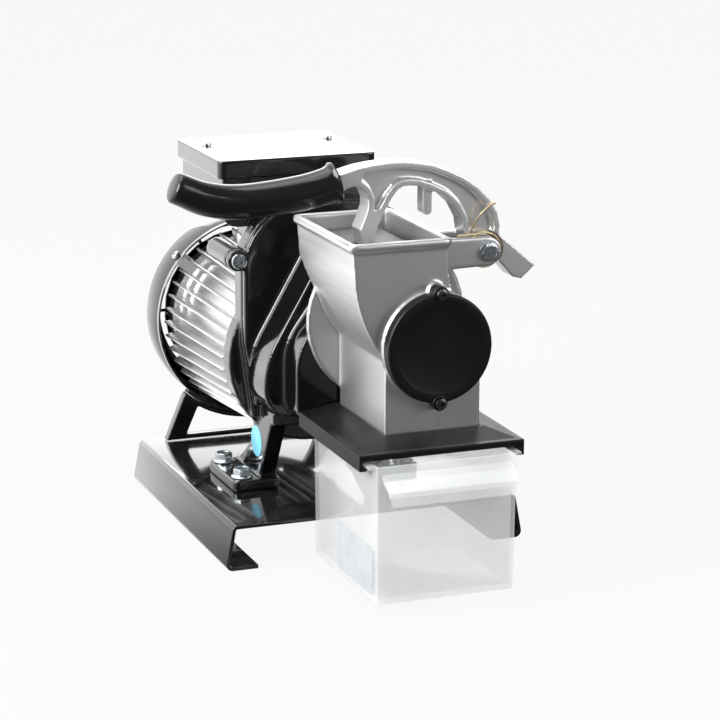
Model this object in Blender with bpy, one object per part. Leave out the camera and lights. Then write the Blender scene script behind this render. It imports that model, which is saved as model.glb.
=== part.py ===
"""Electric grater: a geared motor on a folded plate drives a grating drum under a lever and pusher.

Metres, +Z up, +Y towards the motor's fan, the drawer in front. Run it from Blender's text editor or
with blender --background --python part.py.
"""
import math

import bmesh
import bpy
from mathutils import Matrix, Vector

# Fits that several pieces share
GAP = 0.0003
RUNNING_GAP = 0.0005
OVERRUN = 0.002
ROUND_SIDES = 36
FIT_SIDES = 24
SMALL_SIDES = 16
BOLT_SIDES = 12
FIRST_DEGREES = 4.0

# Gear train and the two parallel axes
TOOTH_MODULE = 0.0015
PINION_TEETH = 13
DRIVE_TEETH = 65
BACKLASH = 0.00012
MOTOR_SIDE_DEGREES = 240.4
DRUM_AXIS_X = 0.007
DRUM_AXIS_Z = 0.198

# Base plate: folded sheet whose flanges splay outward and end in lips
PLATE_WIDTH = 0.246
PLATE_DEPTH = 0.262
PLATE_FRONT_Y = 0.003
PLATE_HEIGHT = 0.0375
PLATE_SHEET = 0.003
FLANGE_SPLAY = 0.0065
LIP_WIDTH = 0.026
PLATE_BEND_RADIUS = 0.005
LIP_BEND_RADIUS = 0.004

# Gear case: rear casting on two swept legs
CASE_LEFT_REACH = 0.093
CASE_RIGHT_REACH = 0.059
CASE_TOP_REACH = 0.080
CASE_TOP_RADIUS = 0.052
CASE_WAIST_Z = 0.165
CASE_CHIN_Z = 0.112
CASE_CHIN_INSET = 0.009
CASE_FLOOR_Z = 0.100
CASE_SPLIT_Y = 0.0886
CASE_BACK_Y = 0.107
CASE_WALL = 0.006
CASE_CHAMBER_BACK_Y = 0.0918
CASE_TAPER_FRONT_Y = 0.0950
CASE_TAPER_Z = 0.150
CASE_BRIDGE_FRONT_Y = 0.057
MOTOR_FLANGE_RADIUS = 0.073
MOTOR_FLANGE_END_Y = 0.112
BOSS_RADIUS = 0.009
BOSS_LEFT_REACH = 0.098
BOSS_RIGHT_REACH = 0.064
BOSS_HEIGHT = 0.037
BOSS_LOW_DROP = 0.066
BOSS_BARREL_END_Y = 0.138
BOSS_SHORT_END_Y = 0.1065

# Legs and feet
LEG_THICKNESS = 0.014
LEG_SPREAD = 0.051
LEG_TOP_FRONT_Y = 0.057
LEG_TOP_BACK_Y = 0.106
LEG_FOOT_FRONT_Y = 0.094
LEG_FOOT_BACK_Y = 0.152
LEG_KNEE_Y = 0.110
LEG_KNEE_Z = 0.077
LEGS_CENTRE_X = -0.012
FOOT_WIDTH = 0.038
FOOT_THICKNESS = 0.0097
FOOT_FRONT_Y = 0.086
FOOT_BACK_Y = 0.156
FOOT_BOLT_INSET = 0.010
FOOT_BOLT_END_INSET = 0.011
FOOT_CORNER = 0.004

# Gear case cover: a plate with two steps towards the drum
COVER_FACE_Y = 0.080
COVER_STEP_Y = 0.040
COVER_NECK_Y = 0.0083
COVER_WALL = 0.0045
STEP_LEFT_REACH = 0.090
STEP_KNEE_Z = 0.157
STEP_SHOULDER_DROP = 0.033
STEP_TOP_Z = 0.256
STEP_RIGHT_REACH = 0.0555
STEP_KNEE_RADIUS = 0.072
NECK_LEFT_REACH = 0.074
NECK_KNEE_Z = 0.174
NECK_SHOULDER_DROP = 0.043
NECK_TOP_Z = 0.216
NECK_FLOOR_Z = 0.1132
NECK_KNEE_RADIUS = 0.055
STEP_HEEL_RADIUS = 0.024
NECK_HEEL_RADIUS = 0.016
NECK_CORNER = 0.012
SMALL_CORNER = 0.0085
BEARING_TUBE_WALL = 0.004
GASKET_THICKNESS = 0.0008
GASKET_WIDTH = 0.0055

# Screws that hold the case together
CASE_SCREW_SHANK = 0.0060
CASE_SCREW_HEAD = 0.0130
CASE_SCREW_HEAD_HEIGHT = 0.0035
CASE_SCREW_LENGTH = 0.034

# Foot bolts with flanged heads, and the tapped strips under the plate
BOLT_SHANK = 0.008
BOLT_HEX = 0.013
BOLT_FLANGE = 0.018
BOLT_FLANGE_HEIGHT = 0.0022
BOLT_HEAD_HEIGHT = 0.0080
STRIP_THICKNESS = 0.006
STRIP_WIDTH = 0.018
STRIP_END_MARGIN = 0.010

# Motor
HOUSING_FRONT_Y = 0.1123
HOUSING_BACK_Y = 0.250
HOUSING_BORE = 0.116
HOUSING_TUBE_RADIUS = 0.0625
FIN_COUNT = 42
FIN_FRONT_RADIUS = 0.0735
FIN_BACK_RADIUS = 0.0815
FIN_ROOT_SHARE = 0.30
FIN_TIP_SHARE = 0.17
PAD_WIDTH = 0.066
PAD_FRONT_Y = 0.122
PAD_BACK_Y = 0.196
PAD_TOP_REACH = 0.086
STATOR_FRONT_Y = 0.142
STATOR_BACK_Y = 0.212
STATOR_BORE = 0.066
SLOT_COUNT = 8
SLOT_DEPTH = 0.014
SLOT_WIDTH = 0.010
WINDING_OVERHANG = 0.018
WINDING_DEPTH = 0.011
ROTOR_AIR_GAP = 0.0006
MOTOR_SHAFT = 0.014
MOTOR_SHAFT_NECK = 0.010
PINION_WIDTH = 0.020
PINION_FRONT_Y = 0.065
MOTOR_BEARING_OUTER = 0.035
MOTOR_BEARING_WIDTH = 0.011
SHIELD_THICKNESS = 0.012
SHIELD_SPIGOT_DEPTH = 0.006
SHIELD_LUG_WIDTH = 0.012
FAN_GAP = 0.006
FAN_DEPTH = 0.018
FAN_RADIUS = 0.070
FAN_HUB_RADIUS = 0.018
FAN_BLADES = 8
FAN_BLADE_THICKNESS = 0.0022
FAN_DISC = 0.002

# Fan cowl: a cup whose back is a grille of rings and spokes
COWL_RADIUS = 0.0875
COWL_WALL = 0.0016
COWL_FRONT_Y = 0.246
COWL_BACK_Y = 0.293
COWL_SHOULDER = 0.012
GRILLE_RINGS = 2
GRILLE_SPOKES = 6
GRILLE_HUB = 0.014
GRILLE_BAR = 0.0030
COWL_SCREW_DEGREES = (140.0, 40.0, 320.0)
COWL_SCREW_SHANK = 0.004
COWL_SCREW_HEAD = 0.008
COWL_SCREW_HEAD_HEIGHT = 0.0026
COWL_SCREW_LENGTH = 0.009

# Rear support under the motor
SUPPORT_HALF_BASE = 0.079
SUPPORT_HALF_TOP = 0.0600
SUPPORT_TOP_Z = 0.079
SUPPORT_THICKNESS = 0.010
SUPPORT_BACK_GAP = 0.0015
SUPPORT_FOOT = 0.004
SUPPORT_SADDLE = 0.004
WINDOW_HALF_BASE = 0.061
WINDOW_HALF_TOP = 0.050
PAD_RUBBER = 0.0025

# Drive gear, output shaft, bearings and seal
DRIVE_WIDTH = 0.015
DRIVE_FRONT_Y = 0.0675
DRIVE_WEB = 0.006
DRIVE_HUB_RADIUS = 0.016
OUTPUT_SHAFT = 0.017
OUTPUT_NECK = 0.014
OUTPUT_HEX = 0.012
OUTPUT_BEARING_OUTER = 0.040
OUTPUT_BEARING_WIDTH = 0.012
OUTPUT_FRONT_BEARING_Y = 0.046
SEAL_OUTER = 0.030
SEAL_WIDTH = 0.007
HEX_REACH = 0.022

# Grater body: hopper, drum housing and chute in one casting
BODY_FRONT_Y = -0.094
CHUTE_BACK_Y = 0.004
HOPPER_BACK_Y = 0.031
BODY_WALL = 0.0035
CHUTE_WIDTH = 0.079
CHUTE_FLOOR_Z = 0.1245
CHUTE_KNEE_Z = 0.181
HOUSING_RADIUS = 0.0425
DRUM_ROOM = 0.0020
RIM_Z = 0.2775
RIM_BEAD = 0.0030
RIM_FLARE = 0.0030
HOPPER_LEFT_X = -0.0595
LEFT_ARC_X = 0.062
LEFT_ARC_Z = 0.262
LEFT_ARC_RADIUS = 0.120
RIGHT_ARC_RADIUS = 0.052
BACK_SLOPE_LOW_Z = 0.217
BACK_SLOPE_HIGH_Z = 0.250
HOPPER_CORNER = 0.006
BODY_FLANGE_RADIUS = 0.067
BODY_FLANGE_FOOT_Z = 0.1345
BODY_FLANGE_FRONT_Y = 0.0025
BODY_FLANGE_BACK_Y = 0.0080
BODY_FLANGE_SKIN = 0.0018
FACE_RING_RADIUS = 0.0425
FACE_RING_HEIGHT = 0.004
BODY_SCREW_DEGREES = (190.0, 300.0)
BODY_SCREW_REACH = 0.048

# Lever pivot and clevis ears
PIVOT_X = 0.0715
PIVOT_Z = 0.257
EAR_RADIUS = 0.0115
EAR_THICKNESS = 0.006
EAR_ROOT_X = 0.016
EAR_ROOT_HALF = 0.013
PIVOT_BOLT = 0.008
PIVOT_BOLT_HEAD = 0.0055
PIVOT_NUT_HEIGHT = 0.0068

# Drum and its cover
DRUM_RADIUS = 0.037
DRUM_SHELL = 0.0020
DRUM_END_GAP = 0.0020
DRUM_DISC = 0.004
DRUM_HUB_RADIUS = 0.013
DRUM_PIN_RADIUS = 0.006
DRUM_PIN_LENGTH = 0.012
DRUM_SIDES = 48
COVER_DISC_RADIUS = 0.0428
COVER_DISC_FRONT_Y = -0.1082
COVER_EAR_REACH = 0.0426
COVER_EAR_RADIUS = 0.0062
COVER_EAR_STAND = 0.0006
COVER_SHELL = 0.003
BUSH_OUTER_RADIUS = 0.009
BUSH_LENGTH = 0.009
COVER_SCREW_SHANK = 0.005
COVER_SCREW_HEAD = 0.0090
COVER_SCREW_HEAD_HEIGHT = 0.0030
COVER_SCREW_LENGTH = 0.020

# Discharge collar
COLLAR_LEFT_X = -0.0658
COLLAR_RIGHT_X = 0.0697
COLLAR_FRONT_Y = -0.127
COLLAR_BACK_Y = 0.0078
COLLAR_EAVES_Z = 0.1258
COLLAR_RIDGE_Z = 0.1310
COLLAR_SKIRT = 0.0125
COLLAR_WALL = 0.0026
COLLAR_FRONT_LIP = 0.0050
COLLAR_POST = 0.0080
COLLAR_RAIL_WIDTH = 0.0062
COLLAR_RAIL_THICKNESS = 0.0024

# Drawer
DRAWER_WIDTH = 0.115
DRAWER_DEPTH = 0.136
DRAWER_WALL = 0.0025
DRAWER_BOTTOM_Z = 0.009
DRAWER_FLOOR = 0.004
DRAWER_TAPER = 0.0010
DRAWER_FLANGE = 0.0052
DRAWER_FLANGE_THICKNESS = 0.0022
DRAWER_BACK_GAP = 0.003
HANDLE_WIDTH = 0.106
HANDLE_TOP_DROP = 0.006
HANDLE_REACH = 0.016
HANDLE_DROP = 0.013
HANDLE_SHEET = 0.0030
DRAWER_TRAVEL = 0.150

# Lever, grip and pusher
LEVER_WIDTH = 0.020
LEVER_WEB = 0.0065
LEVER_EDGE = 0.0048
HUB_RADIUS = 0.0118
SPRING_POCKET_DEPTH = 0.0068
GRIP_RADIUS = 0.0138
GRIP_CORE_HALF = 0.0055
GRIP_CORE_WIDTH = 0.011
GRIP_FLARE = 0.0028
GRIP_SIDES = 20
PUSHER_TOP_Z = 0.267
PUSHER_THICKNESS = 0.025
PUSHER_TIP_REACH = 0.1205
PUSHER_HEEL_REACH = 0.0620
PUSHER_SIDE_GAP = 0.0025
PUSHER_DRUM_GAP = 0.0025
PUSHER_BACK_ROOM = 0.015
PRESS_DEGREES = 6.5
LEG_FOOT_X = -0.0265
LEG_FOOT_WIDTH = 0.010
PUSHER_SCREW_SHANK = 0.005
PUSHER_SCREW_HEAD = 0.009
PUSHER_SCREW_LENGTH = 0.020

# Torsion spring on the pivot
SPRING_WIRE = 0.0018
SPRING_RADIUS = 0.0136
SPRING_TURNS = 2.75
SPRING_PITCH = 0.0020
SPRING_POINTS_PER_TURN = 12

# Switch box
BOX_LEFT_X = -0.098
BOX_WIDTH = 0.127
BOX_FRONT_Y = 0.098
BOX_DEPTH = 0.110
BOX_FLOOR_Z = 0.259
BOX_LID_SEAT_Z = 0.311
BOX_WALL = 0.003
BOX_CORNER = 0.012
LID_OVERHANG = 0.0042
LID_HEIGHT = 0.0150
LID_TOP = 0.0032
LID_GAP = 0.0008
LID_CORNER = 0.005
LID_SCREW_INSET = 0.010
LID_SCREW_SHARE = 0.664
LID_SCREW_SHANK = 0.004
LID_SCREW_HEAD = 0.008
LID_SCREW_HEAD_HEIGHT = 0.0022
LID_SCREW_LENGTH = 0.016
LID_POST_RADIUS = 0.005
PEDESTAL_WIDTH = 0.070
PEDESTAL_DEPTH = 0.062
PEDESTAL_BORE = 0.030
SWITCH_PLACE_SHARE = 0.34
SWITCH_WIDTH = 0.022
SWITCH_LENGTH = 0.030
SWITCH_BEZEL = 0.0030
SWITCH_BEZEL_HEIGHT = 0.0020
SWITCH_BODY_DEPTH = 0.022
SWITCH_TILT_DEGREES = 8.0
CAPACITOR_RADIUS = 0.0165
CAPACITOR_LENGTH = 0.062
GLAND_RADIUS = 0.0095
GLAND_BORE = 0.0040
GLAND_LENGTH = 0.024
GLAND_NUT_WIDTH = 0.020

FINISHES = {
    "black_gloss": ((0.012, 0.012, 0.013), 0.12, 0.0),
    "black_satin": ((0.016, 0.016, 0.017), 0.38, 0.0),
    "cast_aluminium": ((0.62, 0.62, 0.62), 0.34, 1.0),
    "polished_aluminium": ((0.74, 0.74, 0.75), 0.20, 1.0),
    "zinc": ((0.70, 0.74, 0.76), 0.24, 1.0),
    "yellow_zinc": ((0.62, 0.50, 0.30), 0.30, 1.0),
    "stainless": ((0.66, 0.66, 0.66), 0.26, 1.0),
    "steel": ((0.42, 0.42, 0.43), 0.35, 1.0),
    "lamination": ((0.24, 0.24, 0.25), 0.50, 1.0),
    "copper": ((0.62, 0.28, 0.14), 0.35, 1.0),
    "nitrile": ((0.02, 0.02, 0.02), 0.75, 0.0),
    "fibre": ((0.30, 0.22, 0.12), 0.85, 0.0),
    "bronze": ((0.55, 0.36, 0.16), 0.40, 1.0),
    "clear_plastic": ((0.90, 0.92, 0.92), 0.08, 0.0),
    "pale_plastic": ((0.72, 0.72, 0.70), 0.45, 0.0),
    "gear_nylon": ((0.78, 0.76, 0.70), 0.50, 0.0),
}

AXES_DISTANCE = TOOTH_MODULE * (PINION_TEETH + DRIVE_TEETH) / 2
MOTOR_X = DRUM_AXIS_X + AXES_DISTANCE * math.cos(math.radians(MOTOR_SIDE_DEGREES))
MOTOR_Z = DRUM_AXIS_Z + AXES_DISTANCE * math.sin(math.radians(MOTOR_SIDE_DEGREES))
MOTOR = (MOTOR_X, MOTOR_Z)
DRUM = (DRUM_AXIS_X, DRUM_AXIS_Z)
PIVOT = (PIVOT_X, PIVOT_Z)
COVER_BACK_Y = CASE_SPLIT_Y - GASKET_THICKNESS - 2 * GAP
HOPPER_FRONT_INSIDE_Y = BODY_FRONT_Y + BODY_WALL
HOPPER_BACK_INSIDE_Y = HOPPER_BACK_Y - BODY_WALL
LEVER_CENTRE_Y = (BODY_FRONT_Y + HOPPER_BACK_Y) / 2 - RUNNING_GAP
LEVER_FRONT_Y = LEVER_CENTRE_Y - LEVER_WIDTH / 2
LEVER_BACK_Y = LEVER_CENTRE_Y + LEVER_WIDTH / 2


def clear_scene():
    for old in list(bpy.data.objects):
        bpy.data.objects.remove(old, do_unlink=True)


def place(axis, across, up, along):
    """A point from its place across and up the section and along the axis."""
    if axis == "X":
        return Vector((along, across, up))
    if axis == "Y":
        return Vector((across, along, up))
    return Vector((across, up, along))


def solid(name, points, faces):
    """A mesh object whose faces are made to point outward."""
    form = bmesh.new()
    corners = [form.verts.new(point) for point in points]
    for face in faces:
        form.faces.new([corners[index] for index in face])
    bmesh.ops.recalc_face_normals(form, faces=form.faces)
    mesh = bpy.data.meshes.new(name)
    form.to_mesh(mesh)
    form.free()
    piece = bpy.data.objects.new(name, mesh)
    bpy.context.collection.objects.link(piece)
    return piece


def prism(name, outline, start, end, axis="Y", end_outline=None):
    """A straight or tapered extrusion of an outline along an axis."""
    last = end_outline or outline
    count = len(outline)
    points = [place(axis, a, b, start) for a, b in outline]
    points += [place(axis, a, b, end) for a, b in last]
    faces = [tuple(range(count)), tuple(range(count, 2 * count))]
    for index in range(count):
        after = (index + 1) % count
        if end_outline:
            faces += [(index, after, count + after), (index, count + after, count + index)]
        else:
            faces.append((index, after, count + after, count + index))
    return solid(name, points, faces)


def turned(name, profile, centre, axis="Y", sides=ROUND_SIDES):
    """A turned body: the profile lists (radius, place along the axis), closed on itself."""
    points = []
    rings = []
    for radius, along in profile:
        if radius == 0:
            rings.append([len(points)] * sides)
            points.append(place(axis, centre[0], centre[1], along))
            continue
        ring = []
        for step in range(sides):
            angle = math.radians(FIRST_DEGREES) + 2 * math.pi * step / sides
            across = centre[0] + radius * math.cos(angle)
            up = centre[1] + radius * math.sin(angle)
            ring.append(len(points))
            points.append(place(axis, across, up, along))
        rings.append(ring)
    faces = []
    for row, ring in enumerate(rings):
        following = rings[(row + 1) % len(rings)]
        for step in range(sides):
            after = (step + 1) % sides
            face = []
            for index in (ring[step], ring[after], following[after], following[step]):
                if index not in face:
                    face.append(index)
            if len(face) > 2:
                faces.append(face)
    return solid(name, points, faces)


def rod(name, radius, start, end, centre, axis="Y", sides=SMALL_SIDES):
    return prism(name, circle(centre, radius, sides), start, end, axis)


def tube(name, outer, inner, start, end, centre, axis="Y", sides=ROUND_SIDES):
    return turned(name, [(outer, start), (outer, end), (inner, end), (inner, start)], centre, axis, sides)


def block(name, left, right, front, back, floor, top):
    return prism(name, [(left, front), (right, front), (right, back), (left, back)], floor, top, "Z")


def circle(centre, radius, sides):
    turn = 360 * (sides - 1) / sides
    return arc(centre, radius, FIRST_DEGREES, FIRST_DEGREES + turn, sides - 1)


def arc(centre, radius, start, end, steps):
    """Points on an arc from one angle to another, in degrees."""
    points = []
    for step in range(steps + 1):
        angle = math.radians(start + (end - start) * step / steps)
        points.append((centre[0] + radius * math.cos(angle), centre[1] + radius * math.sin(angle)))
    return points


def polar(centre, radius, degrees):
    angle = math.radians(degrees)
    return (centre[0] + radius * math.cos(angle), centre[1] + radius * math.sin(angle))


def round_corner(before, corner, after, radius, steps):
    """The fillet that replaces one corner of a path."""
    corner = Vector(corner)
    toward = (Vector(before) - corner).normalized()
    onward = (Vector(after) - corner).normalized()
    half = toward.angle(onward) / 2
    reach = min(radius / math.tan(half), (Vector(before) - corner).length * 0.499,
                (Vector(after) - corner).length * 0.499)
    radius = reach * math.tan(half)
    middle = corner + (toward + onward).normalized() * (radius / math.sin(half))
    first = corner + toward * reach - middle
    last = corner + onward * reach - middle
    sweep = first.angle_signed(last)
    points = []
    for step in range(steps + 1):
        turn = Matrix.Rotation(-sweep * step / steps, 2)
        points.append(tuple(middle + turn @ first))
    return points


def rounded(corners, steps=4):
    """A closed outline from (across, up, fillet radius) corners."""
    points = []
    count = len(corners)
    for index, (across, up, radius) in enumerate(corners):
        if radius == 0:
            points.append((across, up))
            continue
        before = corners[index - 1][:2]
        after = corners[(index + 1) % count][:2]
        points += round_corner(before, (across, up), after, radius, steps)
    return points


def inset(outline, distance):
    """The outline moved inward by a distance, corner by corner."""
    count = len(outline)
    area = sum(outline[i][0] * outline[(i + 1) % count][1] - outline[(i + 1) % count][0] * outline[i][1]
               for i in range(count))
    side = 1 if area > 0 else -1
    moved = []
    for index, point in enumerate(outline):
        here = Vector(point)
        back = (here - Vector(outline[index - 1])).normalized()
        ahead = (Vector(outline[(index + 1) % count]) - here).normalized()
        normal = Vector((-(back + ahead).y, (back + ahead).x)).normalized()
        lean = max(normal.dot(Vector((-ahead.y, ahead.x))), 0.35)
        moved.append(tuple(here + normal * (side * distance / lean)))
    return moved


def sheet_outline(path, thickness):
    """The closed section of a folded sheet whose middle follows a path."""
    sides = ([], [])
    for index, point in enumerate(path):
        here = Vector(point)
        back = (here - Vector(path[max(index - 1, 0)]))
        ahead = (Vector(path[min(index + 1, len(path) - 1)]) - here)
        back = back.normalized() if back.length > 0 else ahead.normalized()
        ahead = ahead.normalized() if ahead.length > 0 else back
        normal = Vector((-(back + ahead).y, (back + ahead).x)).normalized()
        lean = normal.dot(Vector((-ahead.y, ahead.x)))
        offset = normal * (thickness / 2 / lean)
        sides[0].append(tuple(here + offset))
        sides[1].append(tuple(here - offset))
    return sides[0] + sides[1][::-1]


def combine(piece, other, operation):
    other.hide_render = True
    other.display_type = "WIRE"
    step = piece.modifiers.new(other.name, "BOOLEAN")
    step.operation = operation
    step.object = other
    step.solver = "EXACT"


def cut(piece, *cutters):
    for cutter in cutters:
        combine(piece, cutter, "DIFFERENCE")
    return piece


def fuse(piece, *others):
    for other in others:
        combine(piece, other, "UNION")
    return piece


def paint(piece, look):
    """Give a piece its own material."""
    colour, roughness, metallic = FINISHES[look]
    material = bpy.data.materials.new(piece.name + "_" + look)
    material.use_nodes = True
    shader = material.node_tree.nodes["Principled BSDF"]
    shader.inputs["Base Color"].default_value = (*colour, 1.0)
    shader.inputs["Roughness"].default_value = roughness
    shader.inputs["Metallic"].default_value = metallic
    if look == "clear_plastic":
        shader.inputs["Transmission Weight"].default_value = 1.0
    piece.data.materials.append(material)
    return piece


def finish(piece, look, smooth_degrees=35.0):
    """Paint a piece and give its round faces a smooth shade."""
    paint(piece, look)
    piece.data.shade_smooth()
    piece.data.set_sharp_from_angle(angle=math.radians(smooth_degrees))
    return piece


def screw(name, shank, head, head_height, length, seat, direction, centre, axis="Y", look="zinc"):
    """A round headed screw: its head stands before the seat and its shank runs on past it."""
    socket_radius = head * 0.22
    socket_depth = head_height * 0.6
    top = seat - direction * head_height
    profile = [(0, top + direction * socket_depth), (socket_radius, top), (head * 0.40, top),
               (head / 2, top + direction * head_height * 0.45), (head / 2, seat), (shank / 2, seat),
               (shank / 2, seat + direction * length), (0, seat + direction * length)]
    return finish(turned(name, profile, centre, axis, BOLT_SIDES), look)


def gear_outline(teeth, centre, phase):
    """A spur gear's outline with four points a tooth."""
    pitch_radius = TOOTH_MODULE * teeth / 2
    tip = pitch_radius + TOOTH_MODULE * 0.92
    root = pitch_radius - TOOTH_MODULE * 1.2
    tooth = 2 * math.pi / teeth
    slack = BACKLASH / pitch_radius
    points = []
    for index in range(teeth):
        middle = phase + index * tooth
        for radius, share in ((root, -0.36), (tip, -0.135), (tip, 0.135), (root, 0.36)):
            lean = slack if share < 0 else -slack
            angle = middle + share * tooth + lean
            points.append((centre[0] + radius * math.cos(angle), centre[1] + radius * math.sin(angle)))
    return points


def foot_bolt_places():
    """Both feet's bolt holes, front one first, as (x, y)."""
    places = []
    for side in (-1, 1):
        edge = LEGS_CENTRE_X + side * (LEG_SPREAD + LEG_THICKNESS / 2 + LEG_REST)
        x = edge - side * FOOT_BOLT_INSET
        places.append((x, FOOT_FRONT_Y + FOOT_BOLT_END_INSET))
        places.append((x, FOOT_BACK_Y - FOOT_BOLT_END_INSET))
    return places


LEG_REST = FOOT_WIDTH - LEG_THICKNESS


def make_base_plate():
    half = PLATE_WIDTH / 2 - PLATE_SHEET / 2
    low = PLATE_SHEET / 2
    high = PLATE_HEIGHT - PLATE_SHEET / 2
    foot = half + FLANGE_SPLAY
    corners = [(-foot + LIP_WIDTH, low), (-foot, low), (-half, high), (half, high), (foot, low),
               (foot - LIP_WIDTH, low)]
    path = [corners[0]]
    for index in range(1, len(corners) - 1):
        radius = LIP_BEND_RADIUS if index in (1, 4) else PLATE_BEND_RADIUS
        path += round_corner(corners[index - 1], corners[index], corners[index + 1], radius, 4)
    path.append(corners[-1])
    plate = prism("base_plate", sheet_outline(path, PLATE_SHEET), PLATE_FRONT_Y,
                  PLATE_FRONT_Y + PLATE_DEPTH)
    for index, place_xy in enumerate(foot_bolt_places()):
        cut(plate, rod("plate_hole_%d" % index, BOLT_SHANK / 2 + RUNNING_GAP, PLATE_HEIGHT - PLATE_SHEET * 2,
                       PLATE_HEIGHT + OVERRUN, place_xy, "Z", BOLT_SIDES))
    return finish(plate, "black_gloss")


def case_outline(chin):
    """The outline that the rear casting and the cover share, down to a chin height."""
    left = DRUM_AXIS_X - CASE_LEFT_REACH
    right = DRUM_AXIS_X + CASE_RIGHT_REACH
    top = DRUM_AXIS_Z + CASE_TOP_REACH
    return rounded([(left + CASE_CHIN_INSET, chin, 0), (right, chin, SMALL_CORNER),
                    (right, top, CASE_TOP_RADIUS), (left, top, CASE_TOP_RADIUS),
                    (left, CASE_WAIST_Z, 0)], 8)


def boss_places():
    high = DRUM_AXIS_Z + BOSS_HEIGHT
    return [(DRUM_AXIS_X - BOSS_LEFT_REACH, high), (DRUM_AXIS_X + BOSS_RIGHT_REACH, high),
            (DRUM_AXIS_X + BOSS_RIGHT_REACH, DRUM_AXIS_Z - BOSS_LOW_DROP)]


def make_leg(side):
    """One swept leg with its foot, as a solid that joins the casting."""
    middle = LEGS_CENTRE_X + side * LEG_SPREAD
    left = middle - LEG_THICKNESS / 2
    floor = PLATE_HEIGHT + GAP
    foot_top = floor + FOOT_THICKNESS
    name = "left" if side < 0 else "right"
    leg = prism("leg_" + name, [(LEG_TOP_FRONT_Y, CASE_CHIN_Z - GAP * 2), (LEG_TOP_BACK_Y, CASE_CHIN_Z - GAP * 2),
                                (LEG_KNEE_Y, LEG_KNEE_Z), (LEG_FOOT_BACK_Y, foot_top - OVERRUN),
                                (LEG_FOOT_FRONT_Y, foot_top - OVERRUN)],
                left, left + LEG_THICKNESS, "X")
    outer = middle + side * (LEG_THICKNESS / 2 + LEG_REST)
    inner = middle - side * (LEG_THICKNESS / 2 + OVERRUN)
    foot = prism("foot_" + name, rounded([(min(outer, inner), FOOT_FRONT_Y, FOOT_CORNER),
                                          (max(outer, inner), FOOT_FRONT_Y, FOOT_CORNER),
                                          (max(outer, inner), FOOT_BACK_Y, FOOT_CORNER),
                                          (min(outer, inner), FOOT_BACK_Y, FOOT_CORNER)], 3),
                 floor, foot_top, "Z")
    return leg, foot


def make_gear_case():
    case = prism("gear_case", case_outline(CASE_FLOOR_Z), CASE_SPLIT_Y, CASE_BACK_Y)
    taper_reach = DRUM_AXIS_X + CASE_RIGHT_REACH + BOSS_RADIUS
    taper = prism("case_taper", [(CASE_BACK_Y + OVERRUN, CASE_WAIST_Z), (CASE_BACK_Y + OVERRUN, CASE_FLOOR_Z - OVERRUN),
                                 (CASE_TAPER_FRONT_Y, CASE_FLOOR_Z - OVERRUN), (CASE_TAPER_FRONT_Y, CASE_TAPER_Z),
                                 (CASE_BACK_Y, CASE_WAIST_Z)],
                  DRUM_AXIS_X - CASE_LEFT_REACH - BOSS_RADIUS, taper_reach, "X")
    chamber = prism("case_chamber", inset(case_outline(CASE_CHIN_Z), CASE_WALL), CASE_SPLIT_Y - OVERRUN,
                    CASE_CHAMBER_BACK_Y)
    notch = block("case_notch", DRUM_AXIS_X - MOTOR_FLANGE_RADIUS * 2, DRUM_AXIS_X + MOTOR_FLANGE_RADIUS * 2,
                  BOX_FRONT_Y - OVERRUN / 2, CASE_BACK_Y + OVERRUN, BOX_FLOOR_Z - OVERRUN / 2,
                  DRUM_AXIS_Z + CASE_TOP_REACH + OVERRUN)
    cut(case, taper, chamber, notch)
    fuse(case, rod("motor_flange", MOTOR_FLANGE_RADIUS, CASE_SPLIT_Y + CASE_WALL, MOTOR_FLANGE_END_Y, MOTOR,
                   sides=ROUND_SIDES))
    ends = (BOSS_BARREL_END_Y, BOSS_SHORT_END_Y, BOSS_SHORT_END_Y)
    for index, (centre, end) in enumerate(zip(boss_places(), ends)):
        fuse(case, rod("case_boss_%d" % index, BOSS_RADIUS, CASE_SPLIT_Y, end, centre))
    bridge_half = LEG_SPREAD + LEG_THICKNESS / 2
    fuse(case, block("case_bridge", LEGS_CENTRE_X - bridge_half, LEGS_CENTRE_X + bridge_half,
                     CASE_BRIDGE_FRONT_Y, CASE_SPLIT_Y + CASE_WALL, CASE_FLOOR_Z, CASE_CHIN_Z - GAP * 2))
    for side in (-1, 1):
        fuse(case, *make_leg(side))
    seat_back = MOTOR_FLANGE_END_Y - CASE_WALL / 2
    seat = rod("front_bearing_seat", MOTOR_BEARING_OUTER / 2 + GAP, CASE_CHAMBER_BACK_Y - OVERRUN, seat_back, MOTOR,
               sides=FIT_SIDES)
    passage = rod("motor_shaft_passage", MOTOR_SHAFT / 2 + OVERRUN, seat_back - OVERRUN,
                  MOTOR_FLANGE_END_Y + OVERRUN, MOTOR)
    tail_seat = rod("output_tail_seat", OUTPUT_BEARING_OUTER / 2 + GAP, CASE_CHAMBER_BACK_Y - OVERRUN,
                    CASE_BACK_Y - CASE_WALL / 3, DRUM, sides=FIT_SIDES)
    cut(case, seat, passage)
    fuse(case, rod("tail_bearing_boss", OUTPUT_BEARING_OUTER / 2 + CASE_WALL, CASE_CHAMBER_BACK_Y + GAP,
                   TAIL_BOSS_BACK_Y, DRUM, sides=FIT_SIDES))
    cut(case, tail_seat)
    for index, centre in enumerate(boss_places()):
        cut(case, rod("case_screw_hole_%d" % index, CASE_SCREW_SHANK / 2 + GAP, CASE_SPLIT_Y - OVERRUN,
                      CASE_SCREW_SEAT_Y + CASE_SCREW_LENGTH + GAP, centre, sides=BOLT_SIDES))
    for index, place_xy in enumerate(foot_bolt_places()):
        cut(case, rod("foot_hole_%d" % index, BOLT_SHANK / 2 + GAP, PLATE_HEIGHT - OVERRUN,
                      PLATE_HEIGHT + FOOT_THICKNESS + OVERRUN, place_xy, "Z", BOLT_SIDES))
    return finish(case, "black_gloss")


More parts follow.
